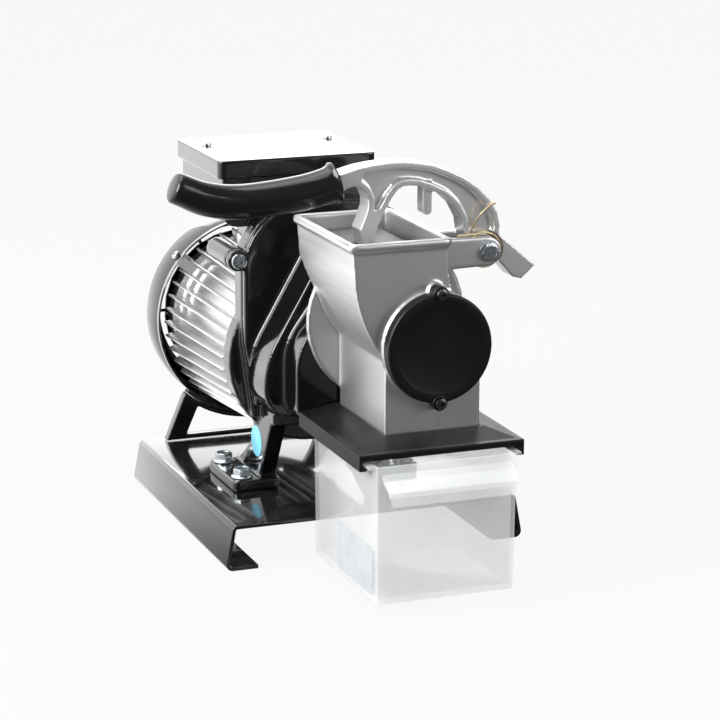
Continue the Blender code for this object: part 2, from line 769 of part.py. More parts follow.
TAIL_BOSS_BACK_Y = CASE_BACK_Y + CASE_WALL / 2
CASE_SCREW_SEAT_Y = COVER_FACE_Y - GAP


def step_outline():
    """The larger step of the cover, round both gears."""
    left = DRUM_AXIS_X - STEP_LEFT_REACH
    right = DRUM_AXIS_X + STEP_RIGHT_REACH
    return rounded([(left, CASE_CHIN_Z + GAP, STEP_HEEL_RADIUS), (right, CASE_CHIN_Z + GAP, SMALL_CORNER),
                    (right, STEP_TOP_Z, NECK_CORNER * 3), (DRUM_AXIS_X - STEP_SHOULDER_DROP, STEP_TOP_Z, NECK_CORNER),
                    (left, STEP_KNEE_Z, STEP_KNEE_RADIUS)], 6)


def neck_outline():
    """The smaller step, which meets the grater body's flange."""
    left = DRUM_AXIS_X - NECK_LEFT_REACH
    right = DRUM_AXIS_X + STEP_RIGHT_REACH - GAP
    return rounded([(left, NECK_FLOOR_Z, NECK_HEEL_RADIUS), (right, NECK_FLOOR_Z, SMALL_CORNER),
                    (right, NECK_TOP_Z, NECK_CORNER * 2), (DRUM_AXIS_X - NECK_SHOULDER_DROP, NECK_TOP_Z, NECK_CORNER),
                    (left, NECK_KNEE_Z, NECK_KNEE_RADIUS)], 6)


def body_screw_places():
    return [polar(DRUM, BODY_SCREW_REACH, degrees) for degrees in BODY_SCREW_DEGREES]


def make_gear_case_cover():
    cover = prism("gear_case_cover", case_outline(CASE_CHIN_Z), COVER_FACE_Y, COVER_BACK_Y)
    for index, centre in enumerate(boss_places()):
        fuse(cover, rod("cover_boss_%d" % index, BOSS_RADIUS, COVER_FACE_Y, COVER_BACK_Y, centre))
    fuse(cover, prism("cover_step", step_outline(), COVER_STEP_Y, COVER_FACE_Y + OVERRUN),
         prism("cover_neck", neck_outline(), COVER_NECK_Y, COVER_STEP_Y + OVERRUN))
    chamber = prism("step_chamber", inset(step_outline(), COVER_WALL), COVER_STEP_Y + COVER_WALL,
                    COVER_BACK_Y + OVERRUN)
    hollow = prism("neck_chamber", inset(neck_outline(), COVER_WALL), COVER_NECK_Y + COVER_WALL,
                   COVER_STEP_Y + COVER_WALL + OVERRUN)
    cut(cover, chamber, hollow)
    bearing_end = OUTPUT_FRONT_BEARING_Y + OUTPUT_BEARING_WIDTH
    tube_radius = OUTPUT_BEARING_OUTER / 2 + GAP + BEARING_TUBE_WALL
    fuse(cover, rod("bearing_tube", SEAL_OUTER / 2 + BEARING_TUBE_WALL, COVER_NECK_Y + GAP, OUTPUT_FRONT_BEARING_Y,
                    DRUM, sides=FIT_SIDES),
         rod("bearing_cup", tube_radius, COVER_STEP_Y + GAP, bearing_end + GAP, DRUM, sides=FIT_SIDES))
    cut(cover, rod("seal_seat", SEAL_OUTER / 2 + GAP, COVER_NECK_Y - OVERRUN, COVER_NECK_Y + SEAL_WIDTH + GAP, DRUM,
                   sides=FIT_SIDES),
        rod("output_passage", OUTPUT_SHAFT / 2 + OVERRUN, COVER_NECK_Y, bearing_end + OVERRUN, DRUM,
            sides=FIT_SIDES),
        rod("output_bearing_seat", OUTPUT_BEARING_OUTER / 2 + GAP, OUTPUT_FRONT_BEARING_Y - GAP,
            bearing_end + OVERRUN, DRUM, sides=FIT_SIDES))
    for index, centre in enumerate(boss_places()):
        cut(cover, rod("cover_screw_hole_%d" % index, CASE_SCREW_SHANK / 2 + GAP, COVER_FACE_Y - OVERRUN,
                       COVER_BACK_Y + OVERRUN, centre, sides=BOLT_SIDES))
    for index, centre in enumerate(body_screw_places()):
        cut(cover, rod("body_screw_hole_%d" % index, CASE_SCREW_SHANK / 2 + GAP, COVER_NECK_Y - OVERRUN,
                       COVER_NECK_Y + COVER_WALL + OVERRUN, centre, sides=BOLT_SIDES))
    return finish(cover, "black_gloss")


def make_case_gasket():
    gasket = prism("case_gasket", inset(case_outline(CASE_CHIN_Z), GAP), COVER_BACK_Y + GAP, CASE_SPLIT_Y - GAP)
    cut(gasket, prism("gasket_window", inset(case_outline(CASE_CHIN_Z), GASKET_WIDTH), COVER_BACK_Y - OVERRUN,
                      CASE_SPLIT_Y + OVERRUN))
    return finish(gasket, "fibre")


def make_case_screws():
    for index, centre in enumerate(boss_places()):
        screw("case_screw_%d" % (index + 1), CASE_SCREW_SHANK, CASE_SCREW_HEAD, CASE_SCREW_HEAD_HEIGHT,
              CASE_SCREW_LENGTH, CASE_SCREW_SEAT_Y, 1, centre)
    inner_seat = COVER_NECK_Y + COVER_WALL + GAP
    for name, centre in zip(("left", "right"), body_screw_places()):
        screw("body_screw_" + name, CASE_SCREW_SHANK, CASE_SCREW_HEAD, CASE_SCREW_HEAD_HEIGHT,
              inner_seat - BODY_FLANGE_FRONT_Y - BODY_FLANGE_SKIN - GAP, inner_seat, -1, centre)


def make_foot_bolts():
    seat = PLATE_HEIGHT + GAP + FOOT_THICKNESS + GAP
    strip_top = PLATE_HEIGHT - PLATE_SHEET - GAP
    end = strip_top - STRIP_THICKNESS - OVERRUN
    for index, (x, y) in enumerate(foot_bolt_places()):
        shank = turned("foot_bolt_%d" % (index + 1),
                       [(0, end), (BOLT_SHANK / 2, end), (BOLT_SHANK / 2, seat), (BOLT_FLANGE / 2, seat),
                        (BOLT_FLANGE / 2, seat + BOLT_FLANGE_HEIGHT / 2),
                        (BOLT_HEX / 2, seat + BOLT_FLANGE_HEIGHT), (0, seat + BOLT_FLANGE_HEIGHT)],
                       (x, y), "Z", BOLT_SIDES)
        hexagon = prism("bolt_hex_%d" % index, circle((x, y), BOLT_HEX / math.sqrt(3), 6),
                        seat + BOLT_FLANGE_HEIGHT / 3, seat + BOLT_HEAD_HEIGHT, "Z")
        finish(fuse(shank, hexagon), "zinc")


def make_nut_strips():
    """Tapped steel strips that take the foot bolts under the plate."""
    places = foot_bolt_places()
    top = PLATE_HEIGHT - PLATE_SHEET - GAP
    for name, pair in (("left", places[:2]), ("right", places[2:])):
        x = pair[0][0]
        strip = block("nut_strip_" + name, x - STRIP_WIDTH / 2, x + STRIP_WIDTH / 2,
                      pair[0][1] - STRIP_END_MARGIN, pair[1][1] + STRIP_END_MARGIN, top - STRIP_THICKNESS, top)
        for index, place_xy in enumerate(pair):
            cut(strip, rod("strip_hole_%s_%d" % (name, index), BOLT_SHANK / 2 + GAP, top - STRIP_THICKNESS - OVERRUN,
                           top + OVERRUN, place_xy, "Z", BOLT_SIDES))
        finish(strip, "zinc")


def fin_outline(tip_radius):
    """The housing's outer outline with tapered radial fins out to a tip radius."""
    points = []
    for index in range(FIN_COUNT):
        pitch = 2 * math.pi / FIN_COUNT
        middle = index * pitch
        places = ((HOUSING_TUBE_RADIUS, -FIN_ROOT_SHARE / 2), (tip_radius, -FIN_TIP_SHARE / 2),
                  (tip_radius, FIN_TIP_SHARE / 2), (HOUSING_TUBE_RADIUS, FIN_ROOT_SHARE / 2))
        for radius, share in places:
            angle = middle + share * pitch
            points.append((MOTOR_X + radius * math.cos(angle), MOTOR_Z + radius * math.sin(angle)))
    return points


def make_motor_housing():
    housing = prism("motor_housing", fin_outline(FIN_FRONT_RADIUS), HOUSING_FRONT_Y, HOUSING_BACK_Y,
                    end_outline=fin_outline(FIN_BACK_RADIUS))
    fuse(housing, block("terminal_pad", MOTOR_X - PAD_WIDTH / 2, MOTOR_X + PAD_WIDTH / 2, PAD_FRONT_Y, PAD_BACK_Y,
                        MOTOR_Z + HOUSING_TUBE_RADIUS * 0.7, MOTOR_Z + PAD_TOP_REACH))
    cut(housing, rod("housing_bore", HOUSING_BORE / 2, HOUSING_FRONT_Y - OVERRUN, HOUSING_BACK_Y + OVERRUN, MOTOR,
                     sides=ROUND_SIDES),
        rod("pad_passage", PEDESTAL_BORE / 4, MOTOR_Z + HOUSING_TUBE_RADIUS * 0.7, MOTOR_Z + PAD_TOP_REACH + OVERRUN,
            (MOTOR_X, (PAD_FRONT_Y + PAD_BACK_Y) / 2), "Z"))
    return finish(housing, "cast_aluminium")


def slot_places():
    return [(index + 0.5) * 360 / SLOT_COUNT for index in range(SLOT_COUNT)]


def radial_box(name, inner, outer, width, start, end, degrees):
    """A box that reaches out from the motor's axis."""
    angle = math.radians(degrees)
    out = Vector((math.cos(angle), math.sin(angle)))
    side = Vector((-out.y, out.x)) * (width / 2)
    centre = Vector(MOTOR)
    corners = [centre + out * inner - side, centre + out * outer - side, centre + out * outer + side,
               centre + out * inner + side]
    return prism(name, [tuple(corner) for corner in corners], start, end)


def make_stator():
    core = tube("stator_core", HOUSING_BORE / 2 - GAP, STATOR_BORE / 2, STATOR_FRONT_Y, STATOR_BACK_Y, MOTOR)
    ring_inner = STATOR_BORE / 2 + GAP * 4
    ring_outer = ring_inner + WINDING_DEPTH
    winding = tube("stator_winding", ring_outer, ring_inner, STATOR_FRONT_Y - WINDING_OVERHANG,
                   STATOR_FRONT_Y - GAP, MOTOR, sides=FIT_SIDES)
    fuse(winding, tube("rear_end_turns", ring_outer, ring_inner, STATOR_BACK_Y + GAP,
                       STATOR_BACK_Y + WINDING_OVERHANG, MOTOR, sides=FIT_SIDES))
    for index, degrees in enumerate(slot_places()):
        cut(core, radial_box("slot_%d" % index, STATOR_BORE / 2 - OVERRUN, STATOR_BORE / 2 + SLOT_DEPTH, SLOT_WIDTH,
                             STATOR_FRONT_Y - OVERRUN, STATOR_BACK_Y + OVERRUN, degrees))
        fuse(winding, radial_box("slot_coil_%d" % index, ring_inner + GAP, ring_outer - GAP, SLOT_WIDTH - 4 * GAP,
                                 STATOR_FRONT_Y - OVERRUN, STATOR_BACK_Y + OVERRUN, degrees))
    finish(core, "lamination")
    finish(winding, "copper")


def make_rotor_and_shaft():
    rotor_radius = STATOR_BORE / 2 - ROTOR_AIR_GAP
    finish(tube("rotor", rotor_radius, MOTOR_SHAFT / 2 + GAP, STATOR_FRONT_Y, STATOR_BACK_Y, MOTOR,
                sides=FIT_SIDES),
           "lamination")
    pinion_back = PINION_FRONT_Y + PINION_WIDTH
    shaft = turned("motor_shaft", [(0, PINION_FRONT_Y - OVERRUN), (MOTOR_SHAFT_NECK / 2, PINION_FRONT_Y - OVERRUN),
                                   (MOTOR_SHAFT_NECK / 2, pinion_back + GAP), (MOTOR_SHAFT / 2, pinion_back + GAP),
                                   (MOTOR_SHAFT / 2, FAN_BACK_Y), (0, FAN_BACK_Y)], MOTOR, sides=FIT_SIDES)
    finish(shaft, "steel")
    towards_drum = math.radians(MOTOR_SIDE_DEGREES - 180)
    pinion = prism("pinion_gear", gear_outline(PINION_TEETH, MOTOR, towards_drum), PINION_FRONT_Y, pinion_back)
    cut(pinion, rod("pinion_bore", MOTOR_SHAFT_NECK / 2 + GAP, PINION_FRONT_Y - OVERRUN, pinion_back + OVERRUN,
                    MOTOR))
    finish(pinion, "steel", 20.0)


def bearing(name, bore, outer, start, width, centre):
    """A shielded ball bearing as one plain ring."""
    return finish(tube(name, outer / 2, bore / 2, start, start + width, centre, sides=FIT_SIDES), "stainless")


SHIELD_FRONT_Y = HOUSING_BACK_Y + GAP
SHIELD_BACK_Y = SHIELD_FRONT_Y + SHIELD_THICKNESS
FAN_FRONT_Y = SHIELD_BACK_Y + FAN_GAP
FAN_BACK_Y = FAN_FRONT_Y + FAN_DEPTH


def make_bearings():
    bearing("motor_bearing_front", MOTOR_SHAFT + 2 * GAP, MOTOR_BEARING_OUTER,
            MOTOR_FLANGE_END_Y - CASE_WALL / 2 - GAP - MOTOR_BEARING_WIDTH, MOTOR_BEARING_WIDTH, MOTOR)
    bearing("motor_bearing_rear", MOTOR_SHAFT + 2 * GAP, MOTOR_BEARING_OUTER, SHIELD_FRONT_Y - GAP,
            MOTOR_BEARING_WIDTH, MOTOR)
    bearing("output_bearing_front", OUTPUT_SHAFT + 2 * GAP, OUTPUT_BEARING_OUTER, OUTPUT_FRONT_BEARING_Y,
            OUTPUT_BEARING_WIDTH, DRUM)
    bearing("output_bearing_rear", OUTPUT_NECK + 2 * GAP, OUTPUT_BEARING_OUTER, TAIL_BEARING_FRONT_Y,
            TAIL_BEARING_WIDTH, DRUM)


TAIL_BEARING_WIDTH = OUTPUT_BEARING_WIDTH
TAIL_BEARING_FRONT_Y = CASE_BACK_Y - CASE_WALL / 3 - GAP - TAIL_BEARING_WIDTH


def make_motor_end_shield():
    spigot = HOUSING_BORE / 2 - GAP
    shield = turned("motor_end_shield",
                    [(MOTOR_SHAFT / 2 + RUNNING_GAP, SHIELD_FRONT_Y + MOTOR_BEARING_WIDTH),
                     (MOTOR_BEARING_OUTER / 2 + GAP, SHIELD_FRONT_Y + MOTOR_BEARING_WIDTH),
                     (MOTOR_BEARING_OUTER / 2 + GAP, SHIELD_FRONT_Y - SHIELD_SPIGOT_DEPTH),
                     (MOTOR_BEARING_OUTER / 2 + CASE_WALL, SHIELD_FRONT_Y - SHIELD_SPIGOT_DEPTH),
                     (MOTOR_BEARING_OUTER / 2 + CASE_WALL, SHIELD_FRONT_Y + SHIELD_SPIGOT_DEPTH / 2),
                     (spigot - CASE_WALL / 2, SHIELD_FRONT_Y + SHIELD_SPIGOT_DEPTH / 2),
                     (spigot - CASE_WALL / 2, SHIELD_FRONT_Y - SHIELD_SPIGOT_DEPTH),
                     (spigot, SHIELD_FRONT_Y - SHIELD_SPIGOT_DEPTH), (spigot, SHIELD_FRONT_Y),
                     (FIN_FRONT_RADIUS, SHIELD_FRONT_Y), (FIN_FRONT_RADIUS, SHIELD_BACK_Y),
                     (MOTOR_SHAFT / 2 + RUNNING_GAP, SHIELD_BACK_Y)], MOTOR, sides=ROUND_SIDES)
    lug_radius = COWL_RADIUS - COWL_WALL - GAP
    for index, degrees in enumerate(COWL_SCREW_DEGREES):
        fuse(shield, radial_box("cowl_lug_%d" % index, FIN_FRONT_RADIUS - OVERRUN, lug_radius - OVERRUN / 4,
                                SHIELD_LUG_WIDTH, SHIELD_FRONT_Y, SHIELD_BACK_Y - GAP, degrees))
        cut(shield, radial_rod("lug_hole_%d" % index, COWL_SCREW_SHANK / 2 + GAP,
                               COWL_RADIUS - COWL_SCREW_LENGTH - GAP, COWL_RADIUS + OVERRUN, degrees))
    return finish(shield, "cast_aluminium")


def radial_rod(name, radius, start, end, degrees):
    """A round cutter that points out from the motor's axis at the cowl screws' place."""
    body = rod(name, radius, start, end, (0, 0), "X", BOLT_SIDES)
    body.data.transform(radial_place(degrees))
    return body


def radial_place(degrees):
    turn = Matrix.Rotation(-math.radians(degrees), 4, "Y")
    return Matrix.Translation((MOTOR_X, COWL_SCREW_Y, MOTOR_Z)) @ turn


COWL_SCREW_Y = SHIELD_FRONT_Y + SHIELD_THICKNESS / 2


def make_cooling_fan():
    fan = turned("cooling_fan", [(MOTOR_SHAFT / 2 + GAP, FAN_FRONT_Y), (FAN_HUB_RADIUS, FAN_FRONT_Y),
                                 (FAN_HUB_RADIUS, FAN_BACK_Y - FAN_DISC), (FAN_RADIUS, FAN_BACK_Y - FAN_DISC),
                                 (FAN_RADIUS, FAN_BACK_Y), (MOTOR_SHAFT / 2 + GAP, FAN_BACK_Y)], MOTOR,
                 sides=FIT_SIDES)
    for index in range(FAN_BLADES):
        fuse(fan, radial_box("fan_blade_%d" % index, FAN_HUB_RADIUS - OVERRUN / 2, FAN_RADIUS - GAP,
                             FAN_BLADE_THICKNESS, FAN_FRONT_Y + OVERRUN, FAN_BACK_Y - FAN_DISC / 2,
                             index * 360 / FAN_BLADES))
    return finish(fan, "black_satin")


def make_fan_cowl():
    inner = COWL_RADIUS - COWL_WALL
    shoulder = COWL_BACK_Y - COWL_SHOULDER
    outer_curve = [(COWL_RADIUS - COWL_SHOULDER + r, y) for r, y in
                   arc((0, shoulder), COWL_SHOULDER, 0, 90, 2)]
    inner_radius = COWL_SHOULDER - COWL_WALL
    inner_curve = [(COWL_RADIUS - COWL_SHOULDER + r, y) for r, y in
                   arc((0, shoulder), inner_radius, 90, 0, 2)]
    profile = [(COWL_RADIUS, COWL_FRONT_Y)] + outer_curve
    profile += [(0, COWL_BACK_Y), (0, COWL_BACK_Y - COWL_WALL)] + inner_curve + [(inner, COWL_FRONT_Y)]
    cowl = turned("fan_cowl", profile, MOTOR)
    outermost = COWL_RADIUS - COWL_SHOULDER
    ring_pitch = (outermost - GRILLE_HUB) / GRILLE_RINGS
    sector = 360 / GRILLE_SPOKES
    for ring in range(GRILLE_RINGS):
        low = GRILLE_HUB + ring * ring_pitch
        high = low + ring_pitch - GRILLE_BAR
        for index in range(GRILLE_SPOKES):
            middle = (index + 0.5) * sector
            low_half = sector / 2 - math.degrees(GRILLE_BAR / 2 / low)
            high_half = sector / 2 - math.degrees(GRILLE_BAR / 2 / high)
            outline = arc(MOTOR, low, middle - low_half, middle + low_half, 2)
            outline += arc(MOTOR, high, middle + high_half, middle - high_half, 3)
            cut(cowl, prism("grille_%d_%d" % (ring, index), outline, COWL_BACK_Y - COWL_WALL - OVERRUN,
                            COWL_BACK_Y + OVERRUN))
    for index, degrees in enumerate(COWL_SCREW_DEGREES):
        cut(cowl, radial_rod("cowl_hole_%d" % index, COWL_SCREW_SHANK / 2 + GAP, COWL_RADIUS - COWL_WALL * 3,
                             COWL_RADIUS + OVERRUN, degrees))
    return finish(cowl, "black_gloss")


def make_cowl_screws():
    for index, degrees in enumerate(COWL_SCREW_DEGREES):
        piece = screw("cowl_screw_%d" % (index + 1), COWL_SCREW_SHANK, COWL_SCREW_HEAD, COWL_SCREW_HEAD_HEIGHT,
                      COWL_SCREW_LENGTH, COWL_RADIUS + GAP, -1, (0, 0), "X")
        piece.data.transform(radial_place(degrees))


def make_rear_support():
    back = PLATE_FRONT_Y + PLATE_DEPTH - SUPPORT_BACK_GAP
    floor = PLATE_HEIGHT + GAP
    cradle = COWL_RADIUS + PAD_RUBBER + 2 * GAP
    half_angle = math.degrees(math.asin(SUPPORT_HALF_TOP / cradle))
    outline = [(MOTOR_X - SUPPORT_HALF_BASE, floor), (MOTOR_X + SUPPORT_HALF_BASE, floor),
               (MOTOR_X + SUPPORT_HALF_TOP + OVERRUN, SUPPORT_TOP_Z)]
    outline += arc(MOTOR, cradle, 270 + half_angle, 270 - half_angle, 16)
    outline.append((MOTOR_X - SUPPORT_HALF_TOP - OVERRUN, SUPPORT_TOP_Z))
    support = prism("rear_support", outline, back - SUPPORT_THICKNESS, back)
    above = cradle + SUPPORT_SADDLE
    half_window = math.degrees(math.asin(WINDOW_HALF_TOP / above))
    window = [(MOTOR_X - WINDOW_HALF_BASE, floor + SUPPORT_FOOT), (MOTOR_X + WINDOW_HALF_BASE, floor + SUPPORT_FOOT)]
    window += arc(MOTOR, above, 270 + half_window, 270 - half_window, 16)
    cut(support, prism("support_window", window, back - SUPPORT_THICKNESS - OVERRUN, back + OVERRUN))
    finish(support, "black_gloss")
    pad = arc(MOTOR, cradle - GAP, 270 + half_angle, 270 - half_angle, 16)
    pad += arc(MOTOR, COWL_RADIUS + GAP, 270 - half_angle, 270 + half_angle, 16)
    finish(prism("support_pad", pad, back - SUPPORT_THICKNESS, back), "nitrile")


def make_drive_gear():
    drive_back = DRIVE_FRONT_Y + DRIVE_WIDTH
    towards_motor = math.radians(MOTOR_SIDE_DEGREES)
    gear = prism("drive_gear", gear_outline(DRIVE_TEETH, DRUM, towards_motor + math.pi / DRIVE_TEETH),
                 DRIVE_FRONT_Y, drive_back)
    recess_outer = TOOTH_MODULE * DRIVE_TEETH / 2 - CASE_WALL
    recess = (DRIVE_WIDTH - DRIVE_WEB) / 2
    for name, start, end in (("front", DRIVE_FRONT_Y - OVERRUN, DRIVE_FRONT_Y + recess),
                             ("back", drive_back - recess, drive_back + OVERRUN)):
        cut(gear, tube("gear_recess_" + name, recess_outer, DRIVE_HUB_RADIUS, start, end, DRUM, sides=FIT_SIDES))
    cut(gear, rod("gear_bore", OUTPUT_SHAFT / 2 + GAP, DRIVE_FRONT_Y - OVERRUN, drive_back + OVERRUN, DRUM,
                  sides=FIT_SIDES))
    return finish(gear, "steel", 20.0)


def make_output_shaft():
    shaft = turned("output_shaft",
                   [(0, DRUM_BACK_Y + OVERRUN), (OUTPUT_SHAFT / 2, DRUM_BACK_Y + OVERRUN),
                    (OUTPUT_SHAFT / 2, DRIVE_FRONT_Y + DRIVE_WIDTH + GAP),
                    (OUTPUT_NECK / 2, DRIVE_FRONT_Y + DRIVE_WIDTH + GAP),
                    (OUTPUT_NECK / 2, TAIL_BEARING_FRONT_Y + TAIL_BEARING_WIDTH - GAP),
                    (0, TAIL_BEARING_FRONT_Y + TAIL_BEARING_WIDTH - GAP)], DRUM, sides=FIT_SIDES)
    fuse(shaft, prism("shaft_hex", circle(DRUM, OUTPUT_HEX / math.sqrt(3), 6), DRUM_BACK_Y - HEX_REACH,
                      DRUM_BACK_Y + OVERRUN * 2))
    return finish(shaft, "steel")


def make_oil_seal():
    lip = OUTPUT_SHAFT / 2 + GAP
    start = COVER_NECK_Y + GAP
    seal = tube("oil_seal", SEAL_OUTER / 2, lip, start, start + SEAL_WIDTH - GAP, DRUM, sides=FIT_SIDES)
    return finish(seal, "nitrile")


DRUM_FRONT_Y = HOPPER_FRONT_INSIDE_Y + DRUM_END_GAP
DRUM_BACK_Y = CHUTE_BACK_Y - BODY_WALL - DRUM_END_GAP


def body_section(wall):
    """The body's front view, moved inward by a wall: chute, drum housing and hopper."""
    left_radius = LEFT_ARC_RADIUS - wall
    right_radius = RIGHT_ARC_RADIUS + wall
    housing = HOUSING_RADIUS - wall
    half = CHUTE_WIDTH / 2 - wall
    left = DRUM_AXIS_X - half
    right = DRUM_AXIS_X + half
    points = [(right, CHUTE_FLOOR_Z)]
    low = -math.degrees(math.acos(half / housing))
    meet = right_meeting(housing, right_radius)
    points += arc(DRUM, housing, low, meet[0], 8)
    points += arc(PIVOT, right_radius, meet[1], 180, 8)[1:]
    points.append((PIVOT_X - right_radius - OVERRUN / 4, RIM_Z))
    points.append((HOPPER_LEFT_X + wall, RIM_Z))
    start = 180 - math.degrees(math.asin(min(GAP / left_radius, 1)))
    knee = 180 + math.degrees(math.acos((LEFT_ARC_X - left) / left_radius))
    points += arc((LEFT_ARC_X, LEFT_ARC_Z), left_radius, start, knee, 10)
    points.append((left, CHUTE_FLOOR_Z))
    return points


def right_meeting(housing, swing):
    """Angles at which the drum housing's circle meets the wall that is round the pivot."""
    across = Vector(PIVOT) - Vector(DRUM)
    distance = across.length
    bearing_angle = math.degrees(math.atan2(across.y, across.x))
    near = math.degrees(math.acos((housing ** 2 + distance ** 2 - swing ** 2) / (2 * housing * distance)))
    far = math.degrees(math.acos((swing ** 2 + distance ** 2 - housing ** 2) / (2 * swing * distance)))
    return bearing_angle + near, 180 + bearing_angle - far


def back_wedge(name, wall):
    """What lies behind the hopper's sloping back, below the slope."""
    run = HOPPER_BACK_Y - CHUTE_BACK_Y
    lift = wall * 1.4
    reach = HOUSING_RADIUS * 3
    far = HOPPER_BACK_Y + OVERRUN * 4
    slope = (BACK_SLOPE_HIGH_Z - BACK_SLOPE_LOW_Z) / run
    front = CHUTE_BACK_Y - wall
    return prism(name, [(front, CHUTE_FLOOR_Z - OVERRUN * 4), (far, CHUTE_FLOOR_Z - OVERRUN * 4),
                        (far, BACK_SLOPE_LOW_Z + lift + slope * (far - CHUTE_BACK_Y)),
                        (front, BACK_SLOPE_LOW_Z + lift - slope * wall)],
                 DRUM_AXIS_X - reach, DRUM_AXIS_X + reach, "X")


def ear_outline():
    """A clevis ear from inside the body's wall to a round end on the pivot."""
    points = [(EAR_ROOT_X, PIVOT_Z - EAR_ROOT_HALF), (PIVOT_X, PIVOT_Z - EAR_RADIUS)]
    points += arc(PIVOT, EAR_RADIUS, -90, 90, 10)[1:]
    points.append((EAR_ROOT_X, PIVOT_Z + EAR_ROOT_HALF))
    return points


def ear_spans():
    """Front and back faces of the two ears, either side of the lever's hub."""
    front = LEVER_FRONT_Y - HUB_STAND - GAP * 2
    back = LEVER_BACK_Y + HUB_STAND + GAP * 2
    return [(front - EAR_THICKNESS, front), (back, back + EAR_THICKNESS)]


HUB_STAND = 0.0012


def make_grater_body():
    body = prism("grater_body", body_section(0), BODY_FRONT_Y, HOPPER_BACK_Y)
    cut(body, back_wedge("outer_back_wedge", 0))
    rim_left = HOPPER_LEFT_X - RIM_FLARE
    rim_right = PIVOT_X - RIGHT_ARC_RADIUS + RIM_FLARE - OVERRUN / 4
    rim = prism("hopper_rim", rounded([(rim_left, BODY_FRONT_Y - RIM_FLARE, HOPPER_CORNER),
                                       (rim_right, BODY_FRONT_Y - RIM_FLARE, HOPPER_CORNER),
                                       (rim_right, HOPPER_BACK_Y + RIM_FLARE, HOPPER_CORNER),
                                       (rim_left, HOPPER_BACK_Y + RIM_FLARE, HOPPER_CORNER)], 4),
                RIM_Z - RIM_BEAD, RIM_Z + RIM_BEAD, "Z")
    ring = rod("face_ring", FACE_RING_RADIUS, BODY_FRONT_Y - FACE_RING_HEIGHT, BODY_FRONT_Y + OVERRUN, DRUM,
               sides=ROUND_SIDES)
    flange = rod("body_flange", BODY_FLANGE_RADIUS, BODY_FLANGE_FRONT_Y, BODY_FLANGE_BACK_Y, DRUM, sides=ROUND_SIDES)
    cut(flange, block("flange_foot_cut", DRUM_AXIS_X - BODY_FLANGE_RADIUS * 2, DRUM_AXIS_X + BODY_FLANGE_RADIUS * 2,
                      BODY_FLANGE_FRONT_Y - OVERRUN, BODY_FLANGE_BACK_Y + OVERRUN,
                      CHUTE_FLOOR_Z - BODY_FLANGE_RADIUS, BODY_FLANGE_FOOT_Z))
    fuse(body, rim, ring, flange)
    for index, degrees in enumerate((90, 270)):
        fuse(body, rod("body_ear_%d" % index, COVER_EAR_RADIUS, BODY_FRONT_Y - FACE_RING_HEIGHT,
                       BODY_FRONT_Y + BODY_WALL, polar(DRUM, COVER_EAR_REACH, degrees)))
    for index, (start, end) in enumerate(ear_spans()):
        fuse(body, prism("clevis_ear_%d" % index, ear_outline(), start, end))
    inside = prism("body_inside", inner_section(), HOPPER_FRONT_INSIDE_Y, HOPPER_BACK_INSIDE_Y)
    cut(inside, back_wedge("inner_back_wedge", BODY_WALL))
    cut(body, inside)
    cut(body, rod("drum_mouth", DRUM_RADIUS + DRUM_ROOM / 2, BODY_FRONT_Y - FACE_RING_HEIGHT - OVERRUN,
                  HOPPER_FRONT_INSIDE_Y + OVERRUN, DRUM, sides=ROUND_SIDES),
        rod("shaft_mouth", OUTPUT_SHAFT / 2 + OVERRUN, HOPPER_FRONT_INSIDE_Y, BODY_FLANGE_BACK_Y + OVERRUN, DRUM),
        rod("pivot_hole", PIVOT_BOLT / 2 + GAP, BODY_FRONT_Y, HOPPER_BACK_Y, PIVOT))
    for index, centre in enumerate(cover_screw_places()):
        cut(body, rod("body_cover_hole_%d" % index, COVER_SCREW_SHANK / 2 + GAP,
                      BODY_FRONT_Y - FACE_RING_HEIGHT - OVERRUN, HOPPER_FRONT_INSIDE_Y + OVERRUN, centre,
                      sides=BOLT_SIDES))
    for index, centre in enumerate(body_screw_places()):
        cut(body, rod("flange_hole_%d" % index, CASE_SCREW_SHANK / 2 + GAP, BODY_FLANGE_FRONT_Y + BODY_FLANGE_SKIN,
                      BODY_FLANGE_BACK_Y + OVERRUN, centre, sides=BOLT_SIDES))
    return finish(body, "cast_aluminium")


def inner_section():
    """The body's inside in front view, open at the chute's foot and the hopper's mouth."""
    points = body_section(BODY_WALL)
    floor = CHUTE_FLOOR_Z - OVERRUN
    top = RIM_Z + RIM_BEAD + OVERRUN
    moved = []
    for across, up in points:
        if up <= CHUTE_FLOOR_Z:
            up = floor
        elif up >= RIM_Z:
            up = top
        moved.append((across, up))
    return moved


def cover_screw_places():
    return [polar(DRUM, COVER_EAR_REACH, degrees) for degrees in (90, 270)]


def make_grating_drum():
    shell = DRUM_RADIUS - DRUM_SHELL
    pin_end = DRUM_FRONT_Y - DRUM_PIN_LENGTH
    drum = turned("grating_drum",
                  [(0, pin_end), (DRUM_PIN_RADIUS, pin_end), (DRUM_PIN_RADIUS, DRUM_FRONT_Y),
                   (DRUM_RADIUS, DRUM_FRONT_Y), (DRUM_RADIUS, DRUM_BACK_Y), (shell, DRUM_BACK_Y),
                   (shell, DRUM_FRONT_Y + DRUM_DISC), (DRUM_HUB_RADIUS, DRUM_FRONT_Y + DRUM_DISC),
                   (DRUM_HUB_RADIUS, DRUM_BACK_Y), (0, DRUM_BACK_Y)], DRUM, sides=DRUM_SIDES)
    cut(drum, prism("hex_socket", circle(DRUM, OUTPUT_HEX / math.sqrt(3) + GAP, 6), DRUM_BACK_Y - HEX_REACH - OVERRUN,
                    DRUM_BACK_Y + OVERRUN))
    return finish(drum, "stainless")


COVER_DISC_BACK_Y = BODY_FRONT_Y - FACE_RING_HEIGHT - GAP


